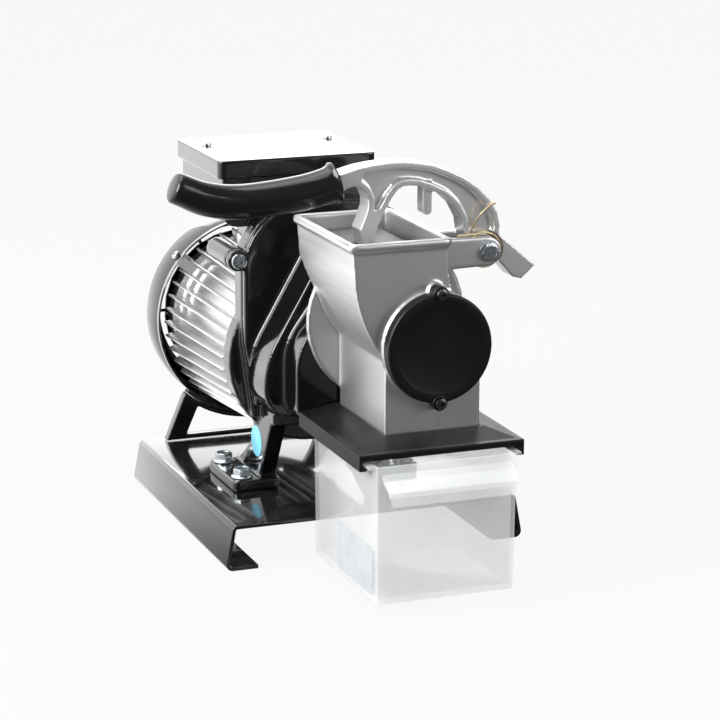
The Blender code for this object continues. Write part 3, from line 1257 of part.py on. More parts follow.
def make_drum_cover():
    pocket = DRUM_RADIUS + DRUM_ROOM / 2
    floor = COVER_DISC_FRONT_Y + COVER_SHELL
    cover = turned("drum_cover", [(0, COVER_DISC_FRONT_Y), (COVER_DISC_RADIUS - OVERRUN, COVER_DISC_FRONT_Y),
                                  (COVER_DISC_RADIUS, COVER_DISC_FRONT_Y + OVERRUN),
                                  (COVER_DISC_RADIUS, COVER_DISC_BACK_Y), (pocket, COVER_DISC_BACK_Y),
                                  (pocket, floor), (0, floor)], DRUM)
    hub = tube("bush_housing", BUSH_OUTER_RADIUS + COVER_SHELL, BUSH_OUTER_RADIUS + GAP, floor - OVERRUN / 2,
               floor + BUSH_LENGTH, DRUM, sides=FIT_SIDES)
    fuse(cover, hub)
    for index, centre in enumerate(cover_screw_places()):
        fuse(cover, rod("cover_ear_%d" % index, COVER_EAR_RADIUS, COVER_DISC_FRONT_Y - COVER_EAR_STAND,
                        COVER_DISC_BACK_Y - OVERRUN / 4, centre))
        cut(cover, rod("cover_ear_hole_%d" % index, COVER_SCREW_SHANK / 2 + GAP, COVER_DISC_FRONT_Y - OVERRUN,
                       COVER_DISC_BACK_Y + OVERRUN, centre, sides=BOLT_SIDES))
    finish(cover, "black_satin")
    bush = tube("cover_bush", BUSH_OUTER_RADIUS, DRUM_PIN_RADIUS + GAP, floor + GAP, floor + BUSH_LENGTH, DRUM,
                sides=FIT_SIDES)
    finish(bush, "bronze")
    for index, centre in enumerate(cover_screw_places()):
        screw("cover_screw_%d" % (index + 1), COVER_SCREW_SHANK, COVER_SCREW_HEAD, COVER_SCREW_HEAD_HEIGHT,
              COVER_SCREW_LENGTH - OVERRUN, COVER_DISC_FRONT_Y - COVER_EAR_STAND - GAP, 1, centre)


def frustum(name, low, high, floor, top):
    """A body between two level rectangles, each (left, right, front, back)."""
    points = []
    for (left, right, front, back), up in ((low, floor), (high, top)):
        points += [Vector((left, front, up)), Vector((right, front, up)), Vector((right, back, up)),
                   Vector((left, back, up))]
    faces = [(0, 1, 2, 3), (4, 5, 6, 7)]
    for index in range(4):
        after = (index + 1) % 4
        faces.append((index, after, 4 + after, 4 + index))
    return solid(name, points, faces)


def chute_rectangle(margin):
    half = CHUTE_WIDTH / 2 + margin
    return (DRUM_AXIS_X - half, DRUM_AXIS_X + half, BODY_FRONT_Y - margin, CHUTE_BACK_Y + margin)


def make_discharge_collar():
    outer = (COLLAR_LEFT_X, COLLAR_RIGHT_X, COLLAR_FRONT_Y, COLLAR_BACK_Y)
    left, right, front, back = outer
    floor = COLLAR_EAVES_Z - COLLAR_SKIRT
    collar = block("discharge_collar", left, right, front, back, floor, COLLAR_EAVES_Z)
    ridge = chute_rectangle(COLLAR_WALL)
    ridge = (ridge[0], ridge[1], ridge[2], COLLAR_BACK_Y - GAP)
    fuse(collar, frustum("collar_roof", (left + GAP, right - GAP, front + GAP, back - GAP), ridge,
                         COLLAR_EAVES_Z - OVERRUN / 2, COLLAR_RIDGE_Z))
    ceiling = COLLAR_EAVES_Z - COLLAR_WALL
    cut(collar, block("collar_inside", left + COLLAR_WALL, right - COLLAR_WALL, front + COLLAR_WALL,
                      back - COLLAR_WALL, floor + COLLAR_RAIL_THICKNESS, ceiling),
        block("collar_way", left + COLLAR_RAIL_WIDTH, right - COLLAR_RAIL_WIDTH, front - OVERRUN,
              back - COLLAR_WALL, floor - OVERRUN, floor + COLLAR_RAIL_THICKNESS + OVERRUN),
        block("collar_front_opening", left + COLLAR_WALL, right - COLLAR_WALL, front - OVERRUN,
              front + COLLAR_WALL + OVERRUN, floor + COLLAR_RAIL_THICKNESS, COLLAR_EAVES_Z - COLLAR_FRONT_LIP),
        block("collar_throat", *chute_rectangle(GAP), floor, COLLAR_RIDGE_Z + OVERRUN))
    return finish(collar, "black_satin")


def drawer_box():
    """The drawer's outside at its rim as (left, right, front, back)."""
    middle = (COLLAR_LEFT_X + COLLAR_RIGHT_X) / 2
    back = PLATE_FRONT_Y - DRAWER_BACK_GAP
    return (middle - DRAWER_WIDTH / 2, middle + DRAWER_WIDTH / 2, back - DRAWER_DEPTH, back)


def shrink(box, amount):
    left, right, front, back = box
    return (left + amount, right - amount, front + amount, back - amount)


def make_drawer():
    box = drawer_box()
    left, right, front, back = box
    rail_top = COLLAR_EAVES_Z - COLLAR_SKIRT + COLLAR_RAIL_THICKNESS
    flange_floor = rail_top + GAP
    rim = flange_floor + DRAWER_FLANGE_THICKNESS
    drawer = frustum("drawer", shrink(box, DRAWER_TAPER), box, DRAWER_BOTTOM_Z, rim)
    flange = block("drawer_flange", left - DRAWER_FLANGE, right + DRAWER_FLANGE, front + COLLAR_WALL, back,
                   flange_floor, rim)
    fuse(drawer, flange)
    handle_top = rim - HANDLE_TOP_DROP
    middle = (left + right) / 2
    sheet = HANDLE_SHEET
    profile = [(front + OVERRUN / 2, handle_top), (front - sheet * 1.2, handle_top),
               (front - HANDLE_REACH, handle_top - HANDLE_DROP + sheet),
               (front - HANDLE_REACH, handle_top - HANDLE_DROP - sheet / 2),
               (front - HANDLE_REACH + sheet, handle_top - HANDLE_DROP - sheet / 2),
               (front - HANDLE_REACH + sheet, handle_top - HANDLE_DROP + sheet / 2),
               (front + OVERRUN / 2, handle_top - sheet * 1.6)]
    handle = prism("drawer_handle", profile, middle - HANDLE_WIDTH / 2, middle + HANDLE_WIDTH / 2, "X")
    fuse(drawer, handle)
    inner = shrink(box, DRAWER_WALL)
    cut(drawer, frustum("drawer_inside", shrink(inner, DRAWER_TAPER), inner, DRAWER_BOTTOM_Z + DRAWER_FLOOR,
                        rim + OVERRUN))
    return finish(drawer, "clear_plastic")


# Lever outlines as shares of the reach from the pivot to the grip's end, across and up from the pivot
LEVER_REACH = 0.2585
OUTER_ARCH_SHARES = ((-0.470, 0.259), (-0.408, 0.275), (-0.362, 0.2815), (-0.315, 0.2855), (-0.265, 0.2855),
                     (-0.215, 0.279), (-0.168, 0.270), (-0.118, 0.250), (-0.068, 0.226), (-0.025, 0.196),
                     (0.013, 0.157), (0.040, 0.115), (0.049, 0.070), (0.0455, 0.046))
TAIL_SHARES = ((0.169, -0.059), (0.124, -0.099), (0.096, -0.092))
HUB_SIDE_SHARES = ((0.040, -0.030), (-0.030, -0.036), (-0.050, 0.006))
INNER_ARCH_SHARES = ((-0.068, 0.058), (-0.074, 0.096), (-0.099, 0.142), (-0.134, 0.174), (-0.182, 0.197),
                     (-0.215, 0.209), (-0.246, 0.213), (-0.268, 0.212), (-0.285, 0.203), (-0.306, 0.176),
                     (-0.330, 0.132), (-0.350, 0.088))
LEG_LEFT_SHARES = ((-0.404, 0.088), (-0.390, 0.122), (-0.378, 0.155), (-0.378, 0.178), (-0.388, 0.202),
                   (-0.404, 0.217), (-0.424, 0.222), (-0.446, 0.216), (-0.470, 0.202))
CORE_SHARES = ((-0.560, 0.208), (-0.700, 0.193), (-0.800, 0.193), (-0.880, 0.209), (-0.945, 0.237))


def about_pivot(shares):
    return [(PIVOT_X + across * LEVER_REACH, PIVOT_Z + up * LEVER_REACH) for across, up in shares]


def core_line():
    """The middle line of the bar that carries the grip, from the arch to the tip."""
    return about_pivot(((-0.470, 0.2305),) + CORE_SHARES)


def arch_outline():
    """The lever's silhouette from the grip's mouth over the arch to the tail, hub and leg."""
    inner = about_pivot(INNER_ARCH_SHARES)
    leg_floor = PUSHER_TOP_Z + GAP
    leg = [(LEG_FOOT_X + LEG_FOOT_WIDTH / 2, leg_floor), (LEG_FOOT_X - LEG_FOOT_WIDTH / 2, leg_floor)]
    outline = about_pivot(OUTER_ARCH_SHARES) + about_pivot(TAIL_SHARES) + about_pivot(HUB_SIDE_SHARES)
    return outline + inner + leg + about_pivot(LEG_LEFT_SHARES)


def arch_band():
    """The arched part of the silhouette alone, whose inset gives the pockets."""
    return about_pivot(OUTER_ARCH_SHARES[1:] + ((0.0, 0.020),) + INNER_ARCH_SHARES[:-1] + LEG_LEFT_SHARES[1:-2])


def make_lever():
    lever = prism("lever", arch_outline(), LEVER_FRONT_Y, LEVER_BACK_Y)
    pocket = inset(arch_band(), LEVER_EDGE)
    for name, start, end in (("front", LEVER_FRONT_Y - OVERRUN, LEVER_CENTRE_Y - LEVER_WEB / 2),
                             ("back", LEVER_CENTRE_Y + LEVER_WEB / 2, LEVER_BACK_Y + OVERRUN)):
        cut(lever, prism("lever_pocket_" + name, pocket, start, end))
    core = prism("grip_core", sheet_outline(core_line(), GRIP_CORE_HALF * 2), LEVER_CENTRE_Y - GRIP_CORE_WIDTH / 2,
                 LEVER_CENTRE_Y + GRIP_CORE_WIDTH / 2)
    hook_left, hook_right, hook_floor, hook_top = hook_sides()
    hook = prism("lever_hook", rounded([(hook_left, hook_floor, HOOK_WIDTH * 0.45),
                                        (hook_right, hook_floor, HOOK_WIDTH * 0.45), (hook_right, hook_top, 0),
                                        (hook_left, hook_top, 0)], 4),
                 LEVER_CENTRE_Y - LEVER_WEB, LEVER_CENTRE_Y + LEVER_WEB)
    hub = rod("lever_hub", HUB_RADIUS, LEVER_FRONT_Y - HUB_STAND, LEVER_BACK_Y + HUB_STAND, PIVOT, sides=FIT_SIDES)
    fuse(lever, core, hook)
    pocket_end = LEVER_FRONT_Y + SPRING_POCKET_DEPTH
    channel = prism("spring_channel", about_coil(SPRING_CHANNEL_SHARES), LEVER_FRONT_Y - OVERRUN, pocket_end - GAP)
    cut(lever, rod("spring_room", SPRING_RADIUS + SPRING_WIRE, LEVER_FRONT_Y - OVERRUN, pocket_end, PIVOT,
                   sides=FIT_SIDES), channel)
    fuse(lever, hub)
    cut(lever, rod("lever_bore", PIVOT_BOLT / 2 + GAP, LEVER_FRONT_Y - OVERRUN, LEVER_BACK_Y + OVERRUN * 2, PIVOT),
        rod("pusher_screw_hole", PUSHER_SCREW_SHANK / 2 + GAP, PUSHER_TOP_Z - OVERRUN,
            PUSHER_TOP_Z + PUSHER_SCREW_LENGTH * 0.62, (LEG_FOOT_X, LEVER_CENTRE_Y), "Z", BOLT_SIDES))
    return finish(lever, "polished_aluminium")


HOOK_WIDTH = 0.0075
HOOK_PLACE_SHARE = -0.1835
HOOK_DROP = 0.026


def hook_sides():
    """The small hook under the arch: left, right, floor and top."""
    middle = PIVOT_X + HOOK_PLACE_SHARE * LEVER_REACH
    top = PIVOT_Z + INNER_ARCH_SHARES[5][1] * LEVER_REACH + LEVER_EDGE / 2
    return middle - HOOK_WIDTH / 2, middle + HOOK_WIDTH / 2, top - HOOK_DROP, top


# The grip's rings as shares: how far along its line, and its radius against the grip's own
GRIP_RING_SHARES = ((0.00, 1.20), (0.02, 1.08), (0.06, 1.00), (0.20, 1.00), (0.40, 0.98), (0.60, 0.96),
                    (0.78, 0.90), (0.90, 0.88), (0.965, 0.80), (0.99, 0.52))


def grip_line():
    """The middle line of the grip, a little past both ends of its core."""
    line = [Vector(point) for point in core_line()]
    line[0] = line[0] + (line[0] - line[1]).normalized() * GAP
    line.append(line[-1] + (line[-1] - line[-2]).normalized() * (GRIP_RADIUS * 0.62))
    return line


def along_line(line, share):
    """A point of a smooth curve through the line's points, and its direction."""
    place_on = share * (len(line) - 1)
    index = min(int(place_on), len(line) - 2)
    part = place_on - index
    before = line[max(index - 1, 0)]
    first = line[index]
    second = line[index + 1]
    after = line[min(index + 2, len(line) - 1)]
    point = 0.5 * ((2 * first) + (second - before) * part
                   + (2 * before - 5 * first + 4 * second - after) * part ** 2
                   + (3 * first - before - 3 * second + after) * part ** 3)
    step = 0.5 * ((second - before) + 2 * (2 * before - 5 * first + 4 * second - after) * part
                  + 3 * (3 * first - before - 3 * second + after) * part ** 2)
    return point, step.normalized()


def make_lever_grip():
    line = grip_line()
    points = []
    faces = []
    for share, swell in GRIP_RING_SHARES:
        middle, ahead = along_line(line, share)
        across = Vector((-ahead.y, ahead.x))
        radius = GRIP_RADIUS * swell
        for step in range(GRIP_SIDES):
            angle = 2 * math.pi * step / GRIP_SIDES
            lift = across * (radius * math.cos(angle))
            points.append(Vector((middle.x + lift.x, LEVER_CENTRE_Y + radius * math.sin(angle),
                                  middle.y + lift.y)))
    rows = len(GRIP_RING_SHARES)
    for row in range(rows - 1):
        for step in range(GRIP_SIDES):
            after = (step + 1) % GRIP_SIDES
            faces.append((row * GRIP_SIDES + step, row * GRIP_SIDES + after, (row + 1) * GRIP_SIDES + after,
                          (row + 1) * GRIP_SIDES + step))
    faces.append(tuple(range(GRIP_SIDES)))
    faces.append(tuple(range((rows - 1) * GRIP_SIDES, rows * GRIP_SIDES)))
    grip = solid("lever_grip", points, faces)
    room = sheet_outline(core_room_line(), (GRIP_CORE_HALF + GAP) * 2)
    cut(grip, prism("grip_socket", room, LEVER_CENTRE_Y - GRIP_CORE_WIDTH / 2 - GAP,
                    LEVER_CENTRE_Y + GRIP_CORE_WIDTH / 2 + GAP),
        arch_cutter())
    return finish(grip, "black_satin")


def core_room_line():
    """The core's line, lengthened a little at both ends for the socket."""
    line = [Vector(point) for point in core_line()]
    line[0] = line[0] + (line[0] - line[1]).normalized() * OVERRUN
    line[-1] = line[-1] + (line[-1] - line[-2]).normalized() * GAP
    return [tuple(point) for point in line]


def arch_cutter():
    """The arch's end with a gap all round, so that the grip's mouth clears it."""
    outline = inset(arch_outline(), -GAP)
    return prism("grip_mouth_room", outline, LEVER_FRONT_Y - GAP, LEVER_BACK_Y + GAP)


def make_pusher():
    """A plate whose underside is hollowed to clear the drum when the lever is pressed down."""
    drum_seen = Matrix.Rotation(-math.radians(PRESS_DEGREES), 2) @ (Vector(DRUM) - Vector(PIVOT))
    hollow = Vector(PIVOT) + drum_seen
    radius = DRUM_RADIUS + PUSHER_DRUM_GAP
    floor = PUSHER_TOP_Z - PUSHER_THICKNESS
    left = PIVOT_X - PUSHER_TIP_REACH
    right = PIVOT_X - PUSHER_HEEL_REACH
    outline = rounded([(left, floor, OVERRUN), (right, floor, OVERRUN), (right, PUSHER_TOP_Z, OVERRUN),
                       (left, PUSHER_TOP_Z, OVERRUN)], 2)
    front = HOPPER_FRONT_INSIDE_Y + PUSHER_SIDE_GAP
    back = HOPPER_BACK_INSIDE_Y - PUSHER_SIDE_GAP
    pusher = prism("pusher", outline, front, back)
    cut(pusher, rod("pusher_hollow", radius, front - OVERRUN, back + OVERRUN, tuple(hollow), sides=ROUND_SIDES),
        back_wedge("pusher_back_room", PUSHER_BACK_ROOM))
    screw_place = (LEG_FOOT_X, LEVER_CENTRE_Y)
    seat = PUSHER_TOP_Z - PUSHER_THICKNESS * 0.45
    cut(pusher, rod("pusher_hole", PUSHER_SCREW_SHANK / 2 + GAP, floor - OVERRUN, PUSHER_TOP_Z + OVERRUN,
                    screw_place, "Z", BOLT_SIDES),
        rod("pusher_counterbore", PUSHER_SCREW_HEAD / 2 + GAP, floor - OVERRUN, seat, screw_place, "Z",
            BOLT_SIDES))
    finish(pusher, "cast_aluminium")
    screw("pusher_screw", PUSHER_SCREW_SHANK, PUSHER_SCREW_HEAD, COVER_SCREW_HEAD_HEIGHT,
          PUSHER_SCREW_LENGTH, seat - GAP, 1, screw_place, "Z", "stainless")


def make_pivot():
    (front, _), (_, back) = ear_spans()
    seat = front - GAP
    head = seat - PIVOT_BOLT_HEAD
    nut_seat = back + GAP
    end = nut_seat + PIVOT_NUT_HEIGHT + OVERRUN
    bolt = turned("pivot_bolt", [(0, seat - OVERRUN / 2), (PIVOT_BOLT / 2, seat - OVERRUN / 2), (PIVOT_BOLT / 2, end),
                                 (0, end)], PIVOT, sides=BOLT_SIDES)
    fuse(bolt, prism("pivot_head", circle(PIVOT, BOLT_HEX / math.sqrt(3), 6), head, seat))
    finish(bolt, "zinc")
    nut = prism("pivot_nut", circle(PIVOT, BOLT_HEX / math.sqrt(3), 6), nut_seat, nut_seat + PIVOT_NUT_HEIGHT)
    cut(nut, rod("nut_bore", PIVOT_BOLT / 2 + GAP, nut_seat - OVERRUN, nut_seat + PIVOT_NUT_HEIGHT + OVERRUN, PIVOT,
                 sides=BOLT_SIDES))
    finish(nut, "zinc")


# The spring's legs as shares of the coil's radius: across and up from the pivot, then how far forward
LOWER_LEG_SHARES = ((-1.88, 1.005, 0.31), (-0.85, 1.005, 0.17), (-0.30, 1.000, 0.04))
UPPER_LEG_SHARES = ((-0.80, 0.93, -0.34), (-0.50, 1.72, -0.20), (-0.22, 2.22, 0.074), (0.34, 2.66, 0.074),
                    (0.555, 2.70, 0.060), (0.575, 2.70, -0.42))
SPRING_CHANNEL_SHARES = ((-1.02, 0.20), (-0.30, 0.20), (-0.16, 1.90), (-0.80, 1.90))


def about_coil(shares):
    return [(PIVOT_X + across * SPRING_RADIUS, PIVOT_Z + up * SPRING_RADIUS) for across, up in shares]


def make_torsion_spring():
    """A coil in the pocket round the hub, one leg on the near ear and one over the arch."""
    front = LEVER_FRONT_Y - HUB_STAND + SPRING_WIRE / 2
    count = round(SPRING_TURNS * SPRING_POINTS_PER_TURN)
    coil = []
    for step in range(count + 1):
        turn = step / SPRING_POINTS_PER_TURN
        angle = math.pi / 2 - 2 * math.pi * turn
        coil.append(Vector((PIVOT_X + SPRING_RADIUS * math.cos(angle), front + turn * SPRING_PITCH,
                            PIVOT_Z + SPRING_RADIUS * math.sin(angle))))
    legs = []
    for shares in (LOWER_LEG_SHARES, UPPER_LEG_SHARES):
        legs.append([Vector((PIVOT_X + across * SPRING_RADIUS, front - forward * SPRING_RADIUS,
                             PIVOT_Z + up * SPRING_RADIUS)) for across, up, forward in shares])
    line = legs[0] + coil + legs[1]
    curve = bpy.data.curves.new("torsion_spring", "CURVE")
    curve.dimensions = "3D"
    curve.bevel_depth = SPRING_WIRE / 2
    curve.bevel_resolution = 1
    curve.use_fill_caps = True
    spline = curve.splines.new("POLY")
    spline.points.add(len(line) - 1)
    for point, place_at in zip(spline.points, line):
        point.co = (*place_at, 1.0)
    spring = bpy.data.objects.new("torsion_spring", curve)
    bpy.context.collection.objects.link(spring)
    return paint(spring, "yellow_zinc")


def box_rectangle(margin):
    return (BOX_LEFT_X - margin, BOX_LEFT_X + BOX_WIDTH + margin, BOX_FRONT_Y - margin,
            BOX_FRONT_Y + BOX_DEPTH + margin)


def rounded_plan(rectangle, radius, steps=3):
    left, right, front, back = rectangle
    return rounded([(left, front, radius), (right, front, radius), (right, back, radius), (left, back, radius)],
                   steps)


def lid_screw_places():
    left, right, front, back = box_rectangle(0)
    middle = front + (back - front) * LID_SCREW_SHARE
    return [(left + LID_SCREW_INSET, middle), (right - LID_SCREW_INSET, middle)]


def make_switch_box():
    left, right, front, back = box_rectangle(0)
    section = rounded([(left, BOX_FLOOR_Z, BOX_CORNER), (right, BOX_FLOOR_Z, BOX_CORNER),
                       (right, BOX_LID_SEAT_Z, 0), (left, BOX_LID_SEAT_Z, 0)], 4)
    box = prism("switch_box", section, front, back)
    inner = rounded([(left + BOX_WALL, BOX_FLOOR_Z + BOX_WALL, BOX_CORNER - BOX_WALL),
                     (right - BOX_WALL, BOX_FLOOR_Z + BOX_WALL, BOX_CORNER - BOX_WALL),
                     (right - BOX_WALL, BOX_LID_SEAT_Z + OVERRUN, 0), (left + BOX_WALL, BOX_LID_SEAT_Z + OVERRUN, 0)],
                    4)
    cut(box, prism("box_inside", inner, front + BOX_WALL, back - BOX_WALL))
    for index, centre in enumerate(lid_screw_places()):
        post = rod("lid_post_%d" % index, LID_POST_RADIUS, BOX_FLOOR_Z + BOX_WALL / 2, BOX_LID_SEAT_Z - GAP, centre,
                   "Z", BOLT_SIDES)
        fuse(box, post)
        cut(box, rod("lid_post_hole_%d" % index, LID_SCREW_SHANK / 2 + GAP, BOX_LID_SEAT_Z - LID_SCREW_LENGTH,
                     BOX_LID_SEAT_Z + OVERRUN, centre, "Z", BOLT_SIDES))
    switch_left, switch_right, switch_low, switch_high = switch_hole()
    cut(box, block("switch_opening", right - BOX_WALL - OVERRUN, right + OVERRUN, switch_left, switch_right,
                   switch_low, switch_high),
        rod("gland_hole", GLAND_RADIUS * 0.8 + GAP, back - BOX_WALL - OVERRUN, back + OVERRUN, gland_place()),
        rod("box_passage", PEDESTAL_BORE / 4, BOX_FLOOR_Z - OVERRUN, BOX_FLOOR_Z + BOX_WALL + OVERRUN,
            (MOTOR_X, (PAD_FRONT_Y + PAD_BACK_Y) / 2), "Z"))
    return finish(box, "black_gloss")


def make_switch_box_lid():
    top = BOX_LID_SEAT_Z + GAP + LID_TOP
    lid = prism("switch_box_lid", rounded_plan(box_rectangle(LID_OVERHANG), LID_CORNER), top - LID_HEIGHT, top, "Z")
    cut(lid, block("lid_inside", *box_rectangle(LID_GAP), top - LID_HEIGHT - OVERRUN, BOX_LID_SEAT_Z + GAP))
    for index, centre in enumerate(lid_screw_places()):
        cut(lid, rod("lid_hole_%d" % index, LID_SCREW_SHANK / 2 + GAP, BOX_LID_SEAT_Z, top + OVERRUN, centre, "Z",
                     BOLT_SIDES))
        screw("lid_screw_%d" % (index + 1), LID_SCREW_SHANK, LID_SCREW_HEAD, LID_SCREW_HEAD_HEIGHT,
              LID_SCREW_LENGTH, top + GAP, -1, centre, "Z")
    return finish(lid, "black_gloss")


def make_box_pedestal():
    middle_y = (PAD_FRONT_Y + PAD_BACK_Y) / 2
    floor = MOTOR_Z + PAD_TOP_REACH + GAP
    low = (MOTOR_X - PAD_WIDTH / 2, MOTOR_X + PAD_WIDTH / 2, middle_y - PEDESTAL_DEPTH / 2,
           middle_y + PEDESTAL_DEPTH / 2)
    flare = (PEDESTAL_WIDTH - PAD_WIDTH) / 2
    high = (low[0] - flare, low[1] + flare, low[2] - flare, low[3] + flare)
    pedestal = frustum("box_pedestal", low, high, floor, BOX_FLOOR_Z - GAP)
    cut(pedestal, rod("pedestal_bore", PEDESTAL_BORE / 2, floor - OVERRUN, BOX_FLOOR_Z + OVERRUN,
                      (MOTOR_X, middle_y), "Z"))
    return finish(pedestal, "black_gloss")


def gland_place():
    """Where the cable gland passes the box's back wall, across and up."""
    return (BOX_LEFT_X + BOX_WIDTH / 2, (BOX_FLOOR_Z + BOX_LID_SEAT_Z) / 2 - GLAND_RADIUS / 2)


def switch_hole():
    """The rocker switch's opening in the box's right wall: front, back, low and high."""
    middle_y = BOX_FRONT_Y + BOX_DEPTH * SWITCH_PLACE_SHARE
    middle_z = BOX_FLOOR_Z + (BOX_LID_SEAT_Z - LID_HEIGHT - BOX_FLOOR_Z) * 0.62
    return (middle_y - SWITCH_LENGTH / 2, middle_y + SWITCH_LENGTH / 2, middle_z - SWITCH_WIDTH / 2,
            middle_z + SWITCH_WIDTH / 2)


def make_rocker_switch():
    wall = BOX_LEFT_X + BOX_WIDTH
    front, back, low, high = switch_hole()
    frame = block("rocker_frame", wall - SWITCH_BODY_DEPTH, wall + GAP * 2, front + GAP, back - GAP, low + GAP,
                  high - GAP)
    fuse(frame, block("rocker_bezel", wall + GAP, wall + SWITCH_BEZEL_HEIGHT, front - SWITCH_BEZEL,
                      back + SWITCH_BEZEL, low - SWITCH_BEZEL, high + SWITCH_BEZEL))
    cut(frame, block("rocker_well", wall - SWITCH_BODY_DEPTH * 0.55, wall + OVERRUN * 2, front + SWITCH_BEZEL,
                     back - SWITCH_BEZEL, low + SWITCH_BEZEL, high - SWITCH_BEZEL))
    finish(frame, "black_satin")
    half = SWITCH_LENGTH / 2 - SWITCH_BEZEL - RUNNING_GAP
    middle_y, axle_x, _ = rocker_axle()
    proud = SWITCH_BEZEL_HEIGHT + OVERRUN / 2 + wall - axle_x
    tilt = math.radians(SWITCH_TILT_DEGREES)
    outline = []
    for across, out in ((-half, proud * 0.25), (-half, proud), (0, proud * 0.72), (half, proud),
                        (half, proud * 0.25), (0, -proud * 0.35)):
        turned_across = across * math.cos(tilt) - out * math.sin(tilt)
        turned_out = across * math.sin(tilt) + out * math.cos(tilt)
        outline.append((axle_x + turned_out, middle_y + turned_across * 0.93))
    button = prism("rocker_button", outline, low + SWITCH_BEZEL + RUNNING_GAP, high - SWITCH_BEZEL - RUNNING_GAP,
                   "Z")
    return finish(button, "black_satin")


def rocker_axle():
    """The rocker's hinge line, upright, as its Y, X and middle Z."""
    front, back, low, high = switch_hole()
    return ((front + back) / 2, BOX_LEFT_X + BOX_WIDTH - BOX_WALL, (low + high) / 2)


def make_capacitor():
    y = BOX_FRONT_Y + BOX_DEPTH * 0.24
    z = BOX_FLOOR_Z + BOX_WALL + CAPACITOR_RADIUS + GAP
    left = BOX_LEFT_X + BOX_WIDTH * 0.14
    profile = [(0, left), (CAPACITOR_RADIUS - OVERRUN, left), (CAPACITOR_RADIUS, left + OVERRUN),
               (CAPACITOR_RADIUS, left + CAPACITOR_LENGTH - OVERRUN),
               (CAPACITOR_RADIUS - OVERRUN, left + CAPACITOR_LENGTH), (0, left + CAPACITOR_LENGTH)]
    return finish(turned("capacitor", profile, (y, z), "X", SMALL_SIDES), "pale_plastic")


def make_cable_gland():
    back = BOX_FRONT_Y + BOX_DEPTH
    inside = back - BOX_WALL - SHIELD_SPIGOT_DEPTH
    nut_end = back + GLAND_LENGTH * 0.3
    end = back + GLAND_LENGTH
    bore = GLAND_BORE
    neck = GLAND_RADIUS * 0.8
    gland = turned("cable_gland", [(bore, inside), (neck, inside), (neck, back + GAP), (GLAND_RADIUS, back + GAP),
                                   (GLAND_RADIUS, nut_end), (neck, end), (bore, end)], gland_place(), sides=SMALL_SIDES)
    fuse(gland, prism("gland_nut", circle(gland_place(), GLAND_NUT_WIDTH / math.sqrt(3), 6), back + GAP,
                      back + GLAND_LENGTH * 0.25))
    cut(gland, rod("gland_bore", bore, inside - OVERRUN, end + OVERRUN, gland_place(), sides=BOLT_SIDES))
    return finish(gland, "black_satin")


def carried(empty_name, place_at, names, parent):
    """An empty on a joint's axis, with the pieces that move about it."""
    empty = bpy.data.objects.new(empty_name, None)
    bpy.context.collection.objects.link(empty)
    empty.location = place_at
    empty.parent = parent
    for name in names:
        piece = bpy.data.objects[name]
        piece.parent = empty
        piece.matrix_parent_inverse = Matrix.Translation(place_at).inverted()


def gather():
    """Stand the assembly on the origin: centred across and lengthwise, with its floor at zero."""
    bpy.context.view_layer.update()
    graph = bpy.context.evaluated_depsgraph_get()
    lows = [math.inf] * 3
    highs = [-math.inf] * 3
    for piece in bpy.data.objects:
        if piece.hide_render:
            continue
        mesh = piece.evaluated_get(graph).to_mesh()
        for vertex in mesh.vertices:
            for axis in range(3):
                lows[axis] = min(lows[axis], vertex.co[axis])
                highs[axis] = max(highs[axis], vertex.co[axis])
    pieces = list(bpy.data.objects)
    origin = bpy.data.objects.new("grater_origin", None)
    bpy.context.collection.objects.link(origin)
    for piece in pieces:
        piece.parent = origin
    origin.location = (-(lows[0] + highs[0]) / 2, -(lows[1] + highs[1]) / 2, -lows[2])
    rocker_y, rocker_x, rocker_z = rocker_axle()
    left, right, front, back = drawer_box()
    carried("lever_axis", (PIVOT_X, LEVER_CENTRE_Y, PIVOT_Z), ("lever", "lever_grip", "pusher", "pusher_screw"),
            origin)
    carried("drum_axis", (DRUM_AXIS_X, DRUM_FRONT_Y, DRUM_AXIS_Z), ("grating_drum", "output_shaft", "drive_gear"),
            origin)
    carried("motor_axis", (MOTOR_X, STATOR_FRONT_Y, MOTOR_Z), ("rotor", "motor_shaft", "pinion_gear", "cooling_fan"),
            origin)
    carried("drawer_slide", ((left + right) / 2, front, DRAWER_BOTTOM_Z), ("drawer",), origin)
    carried("rocker_axis", (rocker_x, rocker_y, rocker_z), ("rocker_button",), origin)


def main():
    clear_scene()
    make_base_plate()
    make_gear_case()
    make_gear_case_cover()
    make_case_gasket()
    make_case_screws()
    make_foot_bolts()
    make_nut_strips()
    make_motor_housing()
    make_stator()
    make_rotor_and_shaft()
    make_bearings()
    make_motor_end_shield()
    make_cooling_fan()
    make_fan_cowl()
    make_cowl_screws()
    make_rear_support()
    make_drive_gear()
    make_output_shaft()
    make_oil_seal()
    make_grater_body()
    make_grating_drum()
    make_drum_cover()
    make_discharge_collar()
    make_drawer()
    make_lever()
    make_lever_grip()
    make_pusher()
    make_pivot()
    make_torsion_spring()
    make_switch_box()
    make_switch_box_lid()
    make_box_pedestal()
    make_rocker_switch()
    make_capacitor()
    make_cable_gland()
    gather()


main()
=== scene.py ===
"""Electric grater: detailed pieces and finishes over the part's frame.

Run as a script. Each piece, or group of like pieces, has an operator, listed in the 3D view's sidebar.
"""

import math

import bmesh
import bpy
from mathutils import Matrix, Vector


